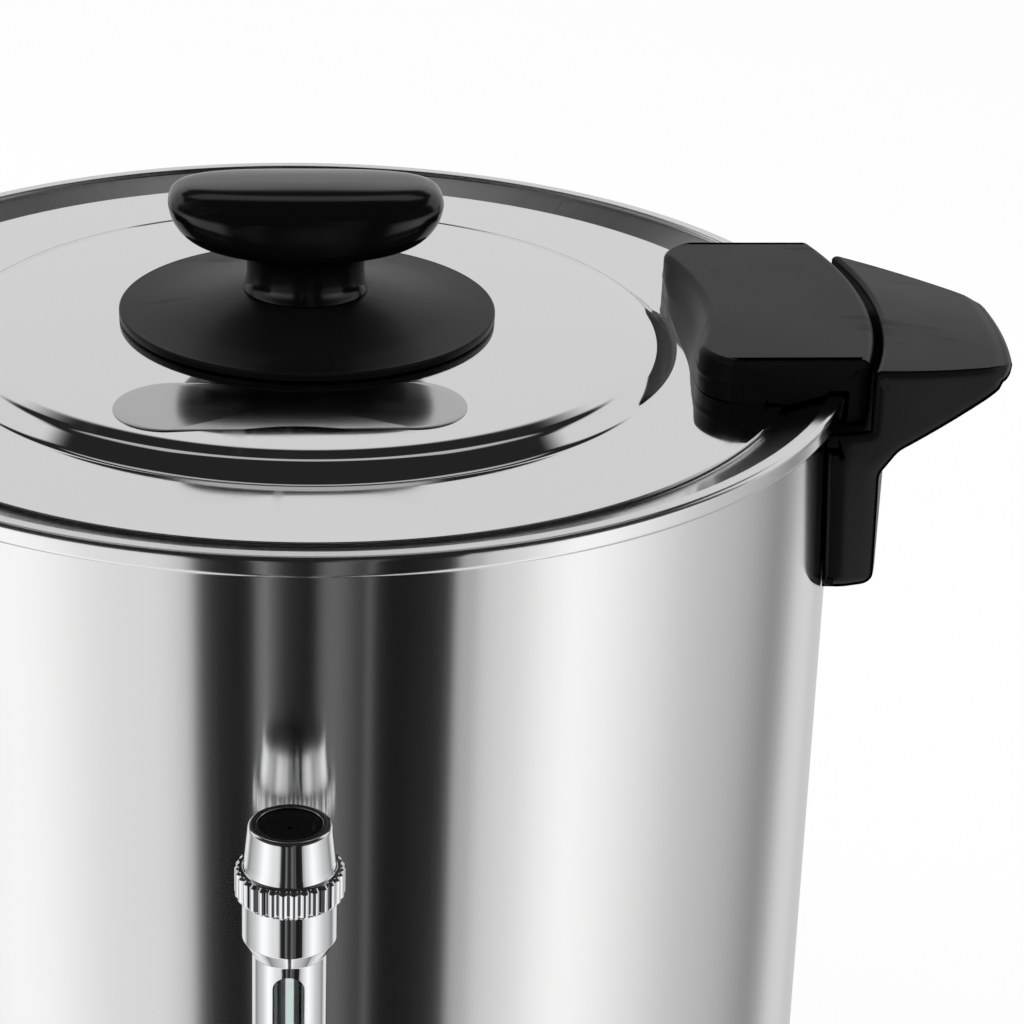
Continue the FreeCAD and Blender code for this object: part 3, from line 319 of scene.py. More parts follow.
# %% A material and its patterns
class Finish:
    """One procedural material: a Principled shader with its constants set directly, and
    patterns on Object coordinates, in millimetres, for what varies."""

    def __init__(self, name, colour, rough, metal=0.0, **constants):
        self.material = bpy.data.materials.new(name)
        self.material.use_nodes = True
        self.tree = self.material.node_tree
        self.shader = self.tree.nodes["Principled BSDF"]
        self.shader.inputs["Base Color"].default_value = (*colour, 1.0)
        self.shader.inputs["Roughness"].default_value = rough
        self.shader.inputs["Metallic"].default_value = metal
        for key, value in constants.items():
            self.shader.inputs[key.replace("_", " ")].default_value = value
        coords = self.tree.nodes.new("ShaderNodeTexCoord")
        scale = self.tree.nodes.new("ShaderNodeVectorMath")
        scale.operation = "SCALE"
        scale.inputs["Scale"].default_value = 1000.0
        self.tree.links.new(coords.outputs["Object"], scale.inputs[0])
        self.place = scale.outputs[0]
        self.colour = colour

    def axes(self):
        """The three coordinates of the point, in millimetres."""
        split = self.tree.nodes.new("ShaderNodeSeparateXYZ")
        self.tree.links.new(self.place, split.inputs[0])
        return [Socket(self.tree, o) for o in split.outputs]

    def from_axis(self):
        """Distance from the urn's upright axis, the angle round it in radians, height."""
        x, y, z = self.axes()
        return (x * x + y * y).math("SQRT"), y.math("ARCTAN2", x), z

    def noise(self, size, detail=2.0, stretch=(1, 1, 1), rough=0.5, vector=None):
        """Soft random blotches about size millimetres across, between 0 and 1."""
        mapping = self.tree.nodes.new("ShaderNodeMapping")
        mapping.inputs["Scale"].default_value = [s / size for s in stretch]
        self.tree.links.new(vector if vector is not None else self.place, mapping.inputs["Vector"])
        node = self.tree.nodes.new("ShaderNodeTexNoise")
        node.inputs["Scale"].default_value = 1.0
        node.inputs["Detail"].default_value = detail
        node.inputs["Roughness"].default_value = rough
        self.tree.links.new(mapping.outputs[0], node.inputs["Vector"])
        return Socket(self.tree, node.outputs[0])

    def vector(self, *parts):
        """Three numbers or sockets as one vector."""
        node = self.tree.nodes.new("ShaderNodeCombineXYZ")
        feed(self.tree, node.inputs, parts)
        return node.outputs[0]

    def set(self, key, socket):
        """The shader's input of this name follows the pattern."""
        self.tree.links.new(socket.out, self.shader.inputs[key])

    def tint(self, amount, other):
        """The base colour turns into other where amount is 1."""
        node = self.tree.nodes.new("ShaderNodeMix")
        node.data_type = "RGBA"
        self.tree.links.new(amount.out, node.inputs["Factor"])
        last = self.shader.inputs["Base Color"]
        if last.links:
            self.tree.links.new(last.links[0].from_socket, node.inputs["A"])
        else:
            node.inputs["A"].default_value = (*self.colour, 1.0)
        node.inputs["B"].default_value = (*other, 1.0)
        self.tree.links.new(node.outputs["Result"], last)

    def bump(self, height, depth):
        """height between 0 and 1 stands up by depth millimetres."""
        node = self.tree.nodes.new("ShaderNodeBump")
        node.inputs["Strength"].default_value = 1.0
        node.inputs["Distance"].default_value = depth * MM
        self.tree.links.new(height.out, node.inputs["Height"])
        last = self.shader.inputs["Normal"]
        if last.links:
            self.tree.links.new(last.links[0].from_socket, node.inputs["Normal"])
        self.tree.links.new(node.outputs["Normal"], last)


# %% [markdown]
# ## The steels
# The shell is rolled sheet, polished almost to a mirror. What keeps it from looking like
# glass is that the sheet is never quite true: it waves by a few hundredths of a
# millimetre, more along the height than round it, and the polish leaves very fine
# upright lines. The lid was spun, so its lines run in circles, and hands have left a
# thin haze of scratches on it.

# %% Shell and lid
POLISHED = (0.80, 0.80, 0.795)
shell_steel = Finish("polished shell steel", POLISHED, 0.26, 1.0, Anisotropic=1.0,
                     Anisotropic_Rotation=0.25)
radius, angle, height = shell_steel.from_axis()
wrapped = shell_steel.vector(angle * SHELL_R, height, 0.0)
lines = shell_steel.noise(0.9, 3.0, (1, 0.012, 1), vector=wrapped)
patches = shell_steel.noise(60.0, 2.0, (1, 0.4, 1), vector=wrapped)
shell_steel.set("Roughness", lines * 0.04 + patches * 0.03 + 0.1)
shell_steel.bump(shell_steel.noise(46.0, 1.0, (1, 0.18, 1), vector=wrapped), 0.02)
shell_steel.bump(lines, 0.0003)

lid_steel = Finish("polished lid steel", POLISHED, 0.05, 1.0)
radius, angle, height = lid_steel.from_axis()
spun = lid_steel.vector(radius, angle * 3.0, height * 0.2)
circles = lid_steel.noise(0.7, 2.0, vector=spun)
haze = lid_steel.noise(34.0, 3.0)
hairs = lid_steel.noise(9.0, 2.0, (1, 0.04, 1), rough=0.6)
lid_steel.set("Roughness", circles * 0.03 + haze.step(0.4, 0.75) * 0.05
              + hairs.step(0.6, 0.7) * 0.04 + 0.02)
lid_steel.bump(lid_steel.noise(52.0, 1.0), 0.03)
lid_steel.bump(circles, 0.0003)

inner_steel = Finish("matt inner steel", (0.62, 0.61, 0.59), 0.32, 1.0)
radius, angle, height = inner_steel.from_axis()
wrapped = inner_steel.vector(angle * SHELL_R, height, radius)
rolled = inner_steel.noise(1.2, 3.0, (1, 0.02, 1), vector=wrapped)
scale_marks = height.step(96, 180, 1.0, 0.0) * inner_steel.noise(14.0, 4.0).step(0.45, 0.7)
inner_steel.set("Roughness", rolled * 0.12 + scale_marks * 0.2 + 0.22)
inner_steel.tint(scale_marks * 0.35, (0.72, 0.68, 0.6))
inner_steel.bump(rolled, 0.002)
print("steels made")

# %% [markdown]
# ## Black mouldings
# The knob, ears, handles and base are heat-proof plastic. All but the knob come out of a
# lightly sparked mould, which gives a satin grain of about a third of a millimetre. The
# knob is pressed harder and shines more. Fingers polish the grain and leave a few pale
# scuffs, so the roughness drifts and thin scratches break the shine.


# %% Satin and gloss black
def moulded(name, colour, rough, grain, depth, scuff, ior=1.5):
    """Roughness drifts by a tenth over 30 mm patches, the grain is fine noise and the
    scuffs are short stretched streaks that are a little paler. A low ior is a dull skin."""
    finish = Finish(name, colour, rough)
    finish.shader.inputs["IOR"].default_value = ior
    drift = finish.noise(30.0, 3.0)
    streaks = finish.noise(5.0, 3.0, (0.15, 1.0, 1.0), 0.7) * finish.noise(22.0, 1.0)
    finish.set("Roughness", drift * 0.12 + streaks.step(0.33, 0.45) * 0.1 + (rough - 0.06))
    finish.tint(streaks.step(0.36, 0.5) * scuff, (0.03, 0.03, 0.03))
    finish.bump(finish.noise(grain, 2.0), depth)
    finish.bump(finish.noise(40.0, 1.0), 0.05)
    return finish


black_satin = moulded("satin black moulding", (0.004, 0.004, 0.0042), 0.34, 0.35, 0.009, 0.25, 1.22)
black_gloss = moulded("gloss black moulding", (0.002, 0.002, 0.0022), 0.15, 0.5, 0.002, 0.2)
rubber = moulded("foot rubber", (0.03, 0.03, 0.03), 0.7, 0.8, 0.03, 0.4)
seal_rubber = moulded("seal rubber", (0.55, 0.53, 0.5), 0.55, 0.8, 0.01, 0.1)
print("mouldings made")

# %% [markdown]
# ## Small metals, glass and lamps
# The gauge and the tap are brass under bright chrome. Underneath are zinc sheet, cast
# aluminium and bare brass that nobody polishes, so those get grain, tarnish and a high
# roughness.


# %% Metals
def metal(name, colour, rough, grain, depth, dull, spots):
    """The grain lifts the surface by depth, and soft spots of a duller colour raise the
    roughness where they lie."""
    finish = Finish(name, colour, rough, 1.0)
    fine = finish.noise(grain, 3.0)
    spot = finish.noise(9.0, 3.0).step(0.5, 0.72)
    finish.set("Roughness", fine * (0.4 * rough) + spot * (0.6 * rough) + 0.7 * rough)
    finish.tint(spot * spots, dull)
    finish.bump(fine, depth)
    return finish


chrome = metal("bright chrome", (0.83, 0.84, 0.85), 0.05, 1.2, 0.0004, (0.7, 0.7, 0.7), 0.15)
brass = metal("nut brass", (0.72, 0.55, 0.28), 0.3, 0.8, 0.006, (0.45, 0.34, 0.18), 0.5)
pin_brass = metal("contact brass", (0.78, 0.62, 0.34), 0.22, 0.8, 0.003, (0.6, 0.45, 0.22), 0.3)
zinc = metal("zinc sheet", (0.62, 0.64, 0.66), 0.38, 5.0, 0.01, (0.48, 0.5, 0.52), 0.7)
cast = metal("cast aluminium", (0.6, 0.6, 0.6), 0.5, 1.0, 0.06, (0.4, 0.4, 0.4), 0.6)
sheath = metal("element sheath", (0.36, 0.34, 0.31), 0.45, 0.9, 0.01, (0.2, 0.15, 0.12), 0.8)
bright_can = metal("thermostat can", (0.7, 0.69, 0.66), 0.3, 0.7, 0.004, (0.5, 0.5, 0.48), 0.4)
screw_metal = metal("screw steel", (0.6, 0.6, 0.59), 0.28, 0.5, 0.004, (0.4, 0.4, 0.4), 0.5)
foil = Finish("plate foil", (0.5, 0.5, 0.498), 0.12, 1.0)
hairline = foil.noise(0.6, 3.0, (0.03, 1.0, 1.0))
foil.set("Roughness", hairline * 0.05 + foil.noise(12.0, 2.0) * 0.03 + 0.08)
foil.bump(hairline, 0.0003)

# %% Glass and lenses
glass = Finish("gauge glass", (0.93, 0.97, 0.96), 0.03, 0.0, Transmission_Weight=1.0, IOR=1.47)
glass.set("Roughness", glass.noise(18.0, 2.0).step(0.4, 0.8, 0.01, 0.07))


def lens(name, colour):
    """A moulded lamp lens: clear coloured plastic with a fine pyramid-like stipple that
    scatters the lamp behind it."""
    finish = Finish(name, colour, 0.15, 0.0, Transmission_Weight=0.35, IOR=1.49)
    cells = finish.noise(0.7, 0.0)
    finish.set("Roughness", cells * 0.15 + 0.1)
    finish.tint(cells.step(0.3, 0.7) * 0.4, tuple(0.45 * c for c in colour))
    finish.bump(cells, 0.05)
    return finish


lamp_red = lens("red lamp lens", (0.55, 0.02, 0.015))
lamp_green = lens("green lamp lens", (0.03, 0.38, 0.08))
print(len(bpy.data.materials), "materials")

# %% [markdown]
# ## The body shell
# One sheet is rolled into a tube, its top edge is curled outwards into a bead, and the
# sheet then runs inwards as a sloping ledge to a flat seat for the lid. Modelling it as a
# single profile, metal thickness included, keeps the thin bright and dark lines of the
# rim in the order in which light meets them.

# %% Shell
shell_profile = rounded([
    (SHELL_R, 60.0, 0.2), (SHELL_R, H - 5.0, 0.7), (125.0, H - 4.3, 1.0), (125.0, H, 1.1), (121.35, H, 0.45),
    (121.25, H - 0.95, 0.2), (112.7, H - 3.5, 0.5), (107.0, H - 3.5, 1.2), (107.0, H - 9.5, 0.2),
    (107.8, H - 9.5, 0.2), (107.8, H - 4.3, 0.5), (112.9, H - 4.3, 0.4), (121.0, H - 1.75, 0.3),
    (121.6, H - 2.1, 0.3), (121.6, 60.0, 0.1)])
body = mesh_object("steel_shell", [turned(shell_profile, steps=480)])
fitted(body, "urn", shell_steel, "polished_steel", "body_shell")

# %% [markdown]
# ## The tank floor
# Inside, a shallow pressed disc is welded in a little above the heater. It shows when the
# lid is off, with the marks that boiled water leaves on a matt sheet.

# %% Floor of the tank
F = 88.0                        # height of the middle of the tank's floor
floor_profile = rounded([
    (0, F), (0, F - 1.0), (70.2, F - 1.0, 2), (113.5, F + 1.0, 2), (117.5, F + 1.0, 2.0),
    (120.4, F - 2, 1.5), (120.4, F - 14, 0.2), (121.45, F - 14, 0.2), (121.45, F - 2, 2.5),
    (117.5, F + 2.0, 2.0), (113.5, F + 2.0, 3), (70.0, F, 3)])
tank = mesh_object("tank_bottom", [turned(floor_profile, steps=256)])
fitted(tank, "urn", inner_steel, "inner_steel", "tank_floor")

# %% [markdown]
# ## The lid
# The lid is spun from one disc: a flat flange that lies on the seat, a step up with a
# soft shoulder, and a middle that is domed by two and a half millimetres. That dome is too
# small to see as a shape, yet it decides where the knob's reflection ends, so it is a
# true parabola.

# %% Lid pan
def dome_height(r):
    """4.7 mm above the rim at the centre and 2.5 mm lower at a radius of 77.2 mm."""
    return H + 4.7 - 2.5 * (r / 77.2) ** 2


dome = np.linspace(73.6, 0.0, 30)
dome_top = np.column_stack([dome, dome_height(dome), np.zeros(30)])
lid_corners = [
    (0.0, H + 3.8), (38.0, H + 3.2), (75.6, H + 1.4, 1.0), (79.4, H - 0.9, 1.0),
    (82.2, H - 2.9, 1.0), (86.0, H - 3.1, 1.0), (105.2, H - 3.1, 0.2), (105.2, H - 8.5, 0.1),
    (106.0, H - 8.5, 0.1), (106.0, H - 3.2, 0.1), (111.9, H - 3.2, 0.2), (111.9, H - 2.6, 0.3),
    (84.4, H - 2.15, 2.4), (80.4, H + 1.36, 4.0), (76.4, H + 2.22, 14.0)]
lid_profile = rounded(lid_corners + [tuple(row) for row in dome_top])
lid = mesh_object("lid_disc", [turned(lid_profile, steps=480)])
fitted(lid, "lid", lid_steel, "lid_steel", "lid_pan")


# %% Bare plate on the lid
def capsule(length, width, points=48):
    """The outline of a straight bar with half-round ends, counter-clockwise."""
    a = np.linspace(-math.pi / 2, math.pi / 2, points)
    r, x = width / 2, length / 2 - width / 2
    right = np.column_stack([x + r * np.cos(a), r * np.sin(a)])
    return np.concatenate([right, -right])


PLATE_X, PLATE_Y = -2.4, -54.2


def on_lid(a, b, h):
    """Turns the plate with the lid and lays it on the dome."""
    c, s = math.cos(LID_TURN), math.sin(LID_TURN)
    x, y = PLATE_X + a * c - b * s, PLATE_Y + a * s + b * c
    return x, y, dome_height(np.sqrt(x * x + y * y)) + h


plate = mesh_object("bare_plate", [slab(capsule(76.0, 24.5), 0.0, 0.22, edge=0.12, place=on_lid)])
fitted(plate, "lid", foil, "lid_steel")

# %% [markdown]
# ## The knob
# Seen from above the grip is oblong, in line with the ears, and its underside curves in
# to a round neck. So each of its rings is a curve with |x / a|^p + |y / b|^p = 1. Going
# up, a and b grow apart and p rises from 2, a circle, to 3, a softened rectangle. The
# skirt below keeps steam off the fingers and is round.


# %% A curve through points
def flowing(points, per_span=9):
    """Catmull-Rom curve: between points p1 and p2 the position is
    0.5 * (2 p1 + (p2 - p0) t + (2 p0 - 5 p1 + 4 p2 - p3) t^2 + (3 p1 - p0 - 3 p2 + p3) t^3)."""
    p = np.asarray(points, float)
    p = np.concatenate([2 * p[:1] - p[1:2], p, 2 * p[-1:] - p[-2:-1]])
    p0, p1, p2, p3 = (p[k:len(p) - 3 + k, None] for k in range(4))
    t = np.linspace(0, 1, per_span, endpoint=False)[None, :, None]
    rows = 0.5 * (2 * p1 + (p2 - p0) * t + (2 * p0 - 5 * p1 + 4 * p2 - p3) * t ** 2
                  + (3 * p1 - p0 - 3 * p2 + p3) * t ** 3)
    return np.concatenate([rows.reshape(-1, p.shape[1]), p[-2:-1]])


# %% Knob and skirt
KNOB_X = -0.5                   # the grip sits a little off the lid's middle


def oblong(rings, steps=288):
    """rings are rows of (a, b, p, height). The point at angle t is (a g cos t, b g sin t)
    with g = (|cos t|^p + |sin t|^p)^(-1 / p), turned with the lid."""
    a, b, p, h = (rings[:, k, None] for k in range(4))
    t = np.linspace(0, 2 * math.pi, steps, endpoint=False)[None]
    g = (np.abs(np.cos(t)) ** p + np.abs(np.sin(t)) ** p) ** (-1 / p)
    u, v = a * g * np.cos(t), b * g * np.sin(t)
    c, s = math.cos(LID_TURN), math.sin(LID_TURN)
    grid = np.stack([u * c - v * s + KNOB_X, u * s + v * c, H + h + 0 * u], -1)
    return grid, grid_faces(len(rings), steps, True, True)


knob_side = flowing([
    (14.2, 14.2, 2, 10.9), (13.6, 13.6, 2, 13.2), (13.4, 13.4, 2, 16.2), (13.7, 13.5, 2, 18.9),
    (15.0, 14.2, 2.1, 20.4), (19.4, 15.3, 2.4, 21.3), (24.4, 16.0, 2.7, 22.6), (27.9, 16.2, 2.9, 24.8),
    (30.1, 16.1, 2.9, 27.6), (31.0, 15.7, 2.9, 30.3), (31.0, 14.9, 2.9, 32.2), (30.2, 13.4, 2.9, 33.8),
    (28.4, 11.3, 2.9, 35.1), (24.4, 8.2, 2.9, 36.0), (13.0, 4.2, 2.6, 36.5), (0.0, 0.0, 2.0, 36.6)], 7)
bore = np.array([(0.0, 0.0, 2, 26.6), (3.0, 3.0, 2, 26.6), (3.0, 3.0, 2, 10.6), (14.0, 14.0, 2, 10.6)])
knob = mesh_object("knob", [oblong(np.concatenate([bore, knob_side]))])
fitted(knob, "lid", black_gloss, "black_gloss", "lid_knob")

skirt_top = flowing([(41.6, 6.12), (38.0, 6.36), (33.0, 6.85), (26.6, 7.9), (20.0, 9.3),
                     (15.9, 10.15)]) + (0, H)
skirt_profile = np.concatenate([rounded([
    (14.4, H + 10.5), (3.3, H + 10.5), (3.3, H + 4.8), (22.4, H + 4.55), (42.4, H + 4.0),
    (43.0, H + 4.4, 0.3), (43.0, H + 6.1, 0.9), (42.0, H + 6.1)], closed=False), skirt_top])
skirt = mesh_object("skirt", [turned(skirt_profile, steps=256)])
fitted(skirt, "lid", black_satin, "black_plastic", "knob_skirt")

# %% [markdown]
# ## The lid's ears
# Each ear is one moulding that stands on the flange, bridges the rim and hangs down
# outside it. Its faces follow circles round the urn's axis, but its ends are flat and a
# little wider at the foot, so that it leaves the mould. A section in radius and height is
# therefore carried across the width, and each station bends it onto its circle.

# %% Ear
EAR_TOP, EAR_HALF, EAR_DRAFT = 7.6, 40.0, 0.08  # height, half width there, widening below
EAR_CORNER, EAR_PLANE = 11.0, 86.3              # plan radius and plane of the inner face


def dense(outline, spacing, closed=True):
    """Cuts each side of an outline that is longer than spacing into equal pieces."""
    ahead = np.roll(outline, -1, 0)
    if not closed:
        ahead[-1] = outline[-1]
    count = np.maximum(1, np.ceil(np.linalg.norm(ahead - outline, axis=1) / spacing)).astype(int)
    which = np.repeat(np.arange(len(outline)), count)
    part = np.arange(len(which)) - np.repeat(np.cumsum(count) - count, count)
    f = (part / count[which])[:, None]
    return outline[which] * (1 - f) + ahead[which] * f


def ear_place(side):
    """Radius r at height z and station v: y = v * half width at that height, and
    x = sqrt(r^2 - y^2). The inner face is moved out to a flat plane with round corners
    wherever its circle would lie behind that plane."""
    def place(r, z, v, short):
        half = EAR_HALF + EAR_DRAFT * (EAR_TOP - z)
        y = v * (half - short)
        past = np.clip(np.abs(y) - (half - EAR_CORNER), 0, EAR_CORNER)
        corner = EAR_PLANE + EAR_CORNER - np.sqrt(EAR_CORNER ** 2 - past ** 2)
        face = np.interp(z, [-2.15, 2.2, EAR_TOP], [EAR_PLANE, 89.8, 91.6])
        shift = np.maximum(0, corner - np.sqrt(face ** 2 - y ** 2))
        x = np.sqrt(r * r - y * y) + shift * np.clip((111.0 - r) / (111.0 - 92.0), 0, 1)
        c, s = math.cos(LID_TURN), math.sin(LID_TURN)
        return side * (x * c - y * s), side * (x * s + y * c), H + z
    return place


ear_top = dense(rounded([(86.3, -2.15), (89.8, 2.2, 9.0), (91.6, EAR_TOP, 1.9),
                         (129.5, EAR_TOP, 1.9), (129.5, -7.0)], closed=False, steps=7), 6.0, False)
ear_under = dense(rounded([(86.5, -2.15), (112.3, -2.55, 0.1), (112.6, -2.8, 0.1), (120.8, -0.35, 0.3),
                           (121.2, 0.5, 0.3), (125.5, 0.5, 0.5), (125.5, -7.0)],
                          closed=False, steps=4), 6.0, False)
ear_section = facing(ear_under, ear_top)
# stations across the width, closer together towards the ends
ease = np.sin(np.linspace(-1, 1, 61) * math.pi / 2) * 0.975
for side, label in ((1, "right"), (-1, "left")):
    ear_parts = swept(ear_section, ease, ear_place(side), edge=2.4, steps=8, under=0.08)
    ear = mesh_object(f"ear_{label}", ear_parts)
    fitted(ear, "lid", black_satin, "black_plastic", f"lid_ear_{label}")

# %% [markdown]
# ## The body handles
# A handle is a wing to lift by, a shelf in front of the hanging ear and a leg that takes
# the screws, all in one moulding with one front face. It is the same kind of swept
# section as the ear, but its half width falls both towards the tip and down the leg.

# %% Handle
def arc(a, b, radius, start, end, points):
    """Points on a circle round (a, b), from the start angle to the end angle."""
    t = np.linspace(start, end, points)
    return np.column_stack([a + radius * np.cos(t), b + radius * np.sin(t)])


LEG_END = -48.6                 # height of the leg's lower end, from the rim's top
TIP_FROM = 158.9                # distance from the axis at which the tip's round begins
handle_in = dense(rounded([(122.6, LEG_END), (122.6, -7.6, 0.2), (131.3, -7.6, 0.3),
                           (131.3, 7.2, 1.2), (161.4, 2.3)], closed=False), 2.0, False)
handle_out = dense(rounded([(133.6, LEG_END), (133.7, -18.4, 4.0), (137.4, -13.1, 5.0),
                            (155.8, -4.6, 8.0), (161.4, -1.9)], closed=False, steps=7), 2.0, False)
tip_round = arc(159.4, 0.2, 2.1, math.pi / 2, -math.pi / 2, 13)
foot_round = arc(131.1, LEG_END + 2.5, 2.5, -math.pi / 2, 0, 7)
handle_in = np.concatenate([handle_in[handle_in[:, 0] < TIP_FROM], tip_round[:7]])
outside = (handle_out[:, 0] < TIP_FROM) & (handle_out[:, 1] > LEG_END + 3.0)
handle_out = np.concatenate([[(123.0, LEG_END)], foot_round, handle_out[outside], tip_round[:5:-1]])
handle_section = facing(handle_out, handle_in)


def handle_place(side):
    """With d = r - 127 the half width is 40.8 - 0.36 d - 0.0062 d^2, falls by 8.6 mm down
    the leg and turns in by a quarter circle of 6 mm at the tip's corners. x = r minus
    the sag of the circle through r at the root, or 2.2 * (y / 25)^2 at the tip."""
    def place(r, z, v, short):
        d = np.maximum(r - 127.0, 0)
        half = 40.8 - 0.36 * d - 0.0062 * d ** 2 - 8.6 * np.clip((-14.0 - z) / 34.6, 0, 1) ** 1.15
        past = np.clip(r - 155.4, 0, 5.98)
        half = half - (6.0 - np.sqrt(36.0 - past ** 2)) * 0.9
        y = v * (half - short)
        toward_tip = np.clip((r - 134.0) / 27.0, 0, 1)
        sag = (r - np.sqrt(r * r - y * y)) * (1 - toward_tip) + 2.2 * (y / 25.0) ** 2 * toward_tip
        return side * (r - sag), y, H + z
    return place


for side, label in ((1, "right"), (-1, "left")):
    handle_parts = swept(handle_section, ease, handle_place(side), edge=2.6, steps=8)
    handle = mesh_object(f"handle_{label}_grip", handle_parts)
    fitted(handle, "urn", black_satin, "black_plastic", f"handle_{label}")

# %% [markdown]
# ## The level gauge
# A slotted chrome tube guards the glass. A knurled chrome cap closes its top and has a
# recessed black plug with a pinhole vent. The slot is milled, so it is cut out of the
# finished tube here too, with a bar that has round ends.


# %% Cutting one piece with another
def cut(obj, cutter):
    """Takes the cutter's solid away from obj and removes the cutter."""
    modifier = obj.modifiers.new("cut", "BOOLEAN")
    modifier.operation = "DIFFERENCE"
    modifier.solver = "EXACT"
    modifier.object = cutter
    bpy.context.view_layer.update()
    done = bpy.data.meshes.new_from_object(obj.evaluated_get(bpy.context.evaluated_depsgraph_get()))
    obj.modifiers.clear()
    obj.data = done
    done.shade_smooth()
    done.set_sharp_from_angle(angle=math.radians(30))
    bpy.data.objects.remove(cutter)


# %% Guard, glass, cap and plug
SLOT_LOW, SLOT_TOP, SLOT_WIDE = 146.0, H - 81.0, 6.4
guard_profile = rounded([
    (6.4, 132.2, 0.2), (7.5, 132.2, 0.3), (7.5, H - 78.9, 0.5), (9.5, H - 75.3, 0.5),
    (9.5, H - 66.1, 0.2), (7.5, H - 66.1), (7.5, H - 59.6, 0.3), (6.4, H - 59.6, 0.2)])
guard = mesh_object("gauge_tube", [turned(dense(guard_profile, 12.0), (0, GAUGE_Y), steps=96)])
slot_bar = mesh_object("slot bar", [slab(
    capsule(SLOT_TOP - SLOT_LOW, SLOT_WIDE), GAUGE_Y - 12, GAUGE_Y + 0.2, edge=0.0,
    place=lambda a, b, y: (b, y, (SLOT_LOW + SLOT_TOP) / 2 + a))])
cut(guard, slot_bar)
fitted(guard, "urn", chrome, "tap_chrome", "gauge_guard")

glass_profile = rounded([(4.0, 123.7, 0.2), (5.0, 123.7, 0.2), (5.0, H - 61.6, 0.2), (4.0, H - 61.6, 0.2)])
glass_tube = mesh_object("level_glass", [turned(glass_profile, (0, GAUGE_Y), steps=64)])
fitted(glass_tube, "urn", glass, "gauge_glass", "gauge_glass")


def knurl(r, a):
    """r - 0.7 * (1 - |cos(15 a)|) on the grip band, which gives thirty teeth."""
    grip = np.clip((r - 10.1) / 0.4, 0, 1)
    return r - 0.7 * grip * (1 - np.abs(np.cos(15 * a)))


cap_profile = rounded([
    (7.65, H - 66.0), (10.4, H - 66.0, 0.3), (11.0, H - 65.3, 0.3), (11.0, H - 60.3, 0.3),
    (10.4, H - 59.6, 0.3), (9.4, H - 59.6, 0.4), (9.1, H - 58.2, 0.5), (8.3, H - 50.0, 1.3),
    (6.5, H - 50.0, 0.2), (6.5, H - 51.6), (1.2, H - 51.6), (1.2, H - 57.4), (7.65, H - 57.4)])
cap_side = turned(dense(cap_profile, 1.5), (0, GAUGE_Y), steps=360, ripple=knurl)
cap = mesh_object("gauge_top", [cap_side], sharp=50)
fitted(cap, "urn", chrome, "tap_chrome", "gauge_cap")
plug_profile = rounded([
    (0.6, H - 51.5, 0.1), (6.4, H - 51.5, 0.1), (6.4, H - 50.5, 0.3), (5.0, H - 50.5, 0.3),
    (4.4, H - 50.9, 0.3), (0.9, H - 50.9, 0.2), (0.6, H - 51.1, 0.1)])
plug = mesh_object("vent_plug", [turned(plug_profile, (0, GAUGE_Y), steps=64)])
fitted(plug, "urn", black_satin, "black_plastic", "gauge_plug")

# %% [markdown]
# ## The tap
# The tap is one chromed casting: a flange against the shell, a tube that also feeds the
# gauge, an upright valve chamber and a spout. A bonnet screws on top and carries the
# lever between two ears. Each part of it came off a lathe, so each is a profile.

# %% Tap body and bonnet
flange = rounded([(0, -126.9), (13.0, -126.9, 0.9), (13.0, -124.4, 0.4), (0, -124.4)])
feed_tube = rounded([(0, TAP_Y), (8.5, TAP_Y, 0.1), (8.5, -128.4, 0.9), (10.2, -126.7, 0.2),
                     (0, -126.7)])
gauge_socket = rounded([(0, TAP_Z), (9.5, TAP_Z, 2.0), (9.5, 132.0, 0.8), (6.0, 132.0, 0.3),
                        (6.0, 123.0), (0, 123.0)])
chamber = rounded([
    (5.5, 82.0, 0.3), (7.1, 82.0, 0.6), (7.9, 97.6, 3.0), (12.0, 102.0, 2.0), (12.0, 131.0, 0.5),
    (9.0, 131.0, 0.3), (9.0, 105.0, 0.5), (4.5, 105.0, 0.3), (4.5, 102.5), (5.5, 102.5)])
tap = mesh_object("tap_casting", [
    turned(flange, (0, TAP_Z), 128, axis="y"), turned(feed_tube, (0, TAP_Z), 96, axis="y"),
    turned(gauge_socket, (0, GAUGE_Y), 96), turned(chamber, (0, TAP_Y), 128)])
fitted(tap, "urn", chrome, "tap_chrome", "tap_body")

PIN_Z = 152.0                   # height of the lever's pin
clevis_plan = np.concatenate([[(-5.5, 138.0), (5.5, 138.0)], arc(0, PIN_Z, 5.5, 0, math.pi, 25)])
bonnet_side = rounded([(2.55, 127.0, 0.2), (8.9, 127.0, 0.3), (8.9, 131.1), (13.2, 131.1, 0.6),
                       (13.2, 139.0, 2.6), (2.55, 139.0, 0.3)])
bonnet_parts = [turned(bonnet_side, (0, TAP_Y), 128)]
for x in (-7.7, 5.3):
    bonnet_parts.append(slab(clevis_plan, x, x + 2.4, place=lambda a, b, h: (h, TAP_Y + a, b)))
bonnet = mesh_object("tap_cap", bonnet_parts)
fitted(bonnet, "urn", chrome, "tap_chrome", "tap_bonnet")

# %% Lever
blade_plan = dense(rounded([
    (-4.8, 146.8, 2.0), (4.8, 146.8, 2.0), (4.8, 162.0, 5.0), (8.2, 170.0, 8.0), (9.2, 190.0, 8.0),
    (7.0, 196.0, 5.0), (-7.0, 196.0, 5.0), (-9.2, 190.0, 8.0), (-8.2, 170.0, 8.0),
    (-4.8, 162.0, 5.0)]), 2.0)


def dish(sign):
    """The paddle is 7.2 mm thick and dished by 0.9 mm where the thumb lies."""
    return lambda a, b: sign * (3.6 - 0.9 * np.exp(-((b - 182.0) / 8.0) ** 2 - (a / 6.0) ** 2))


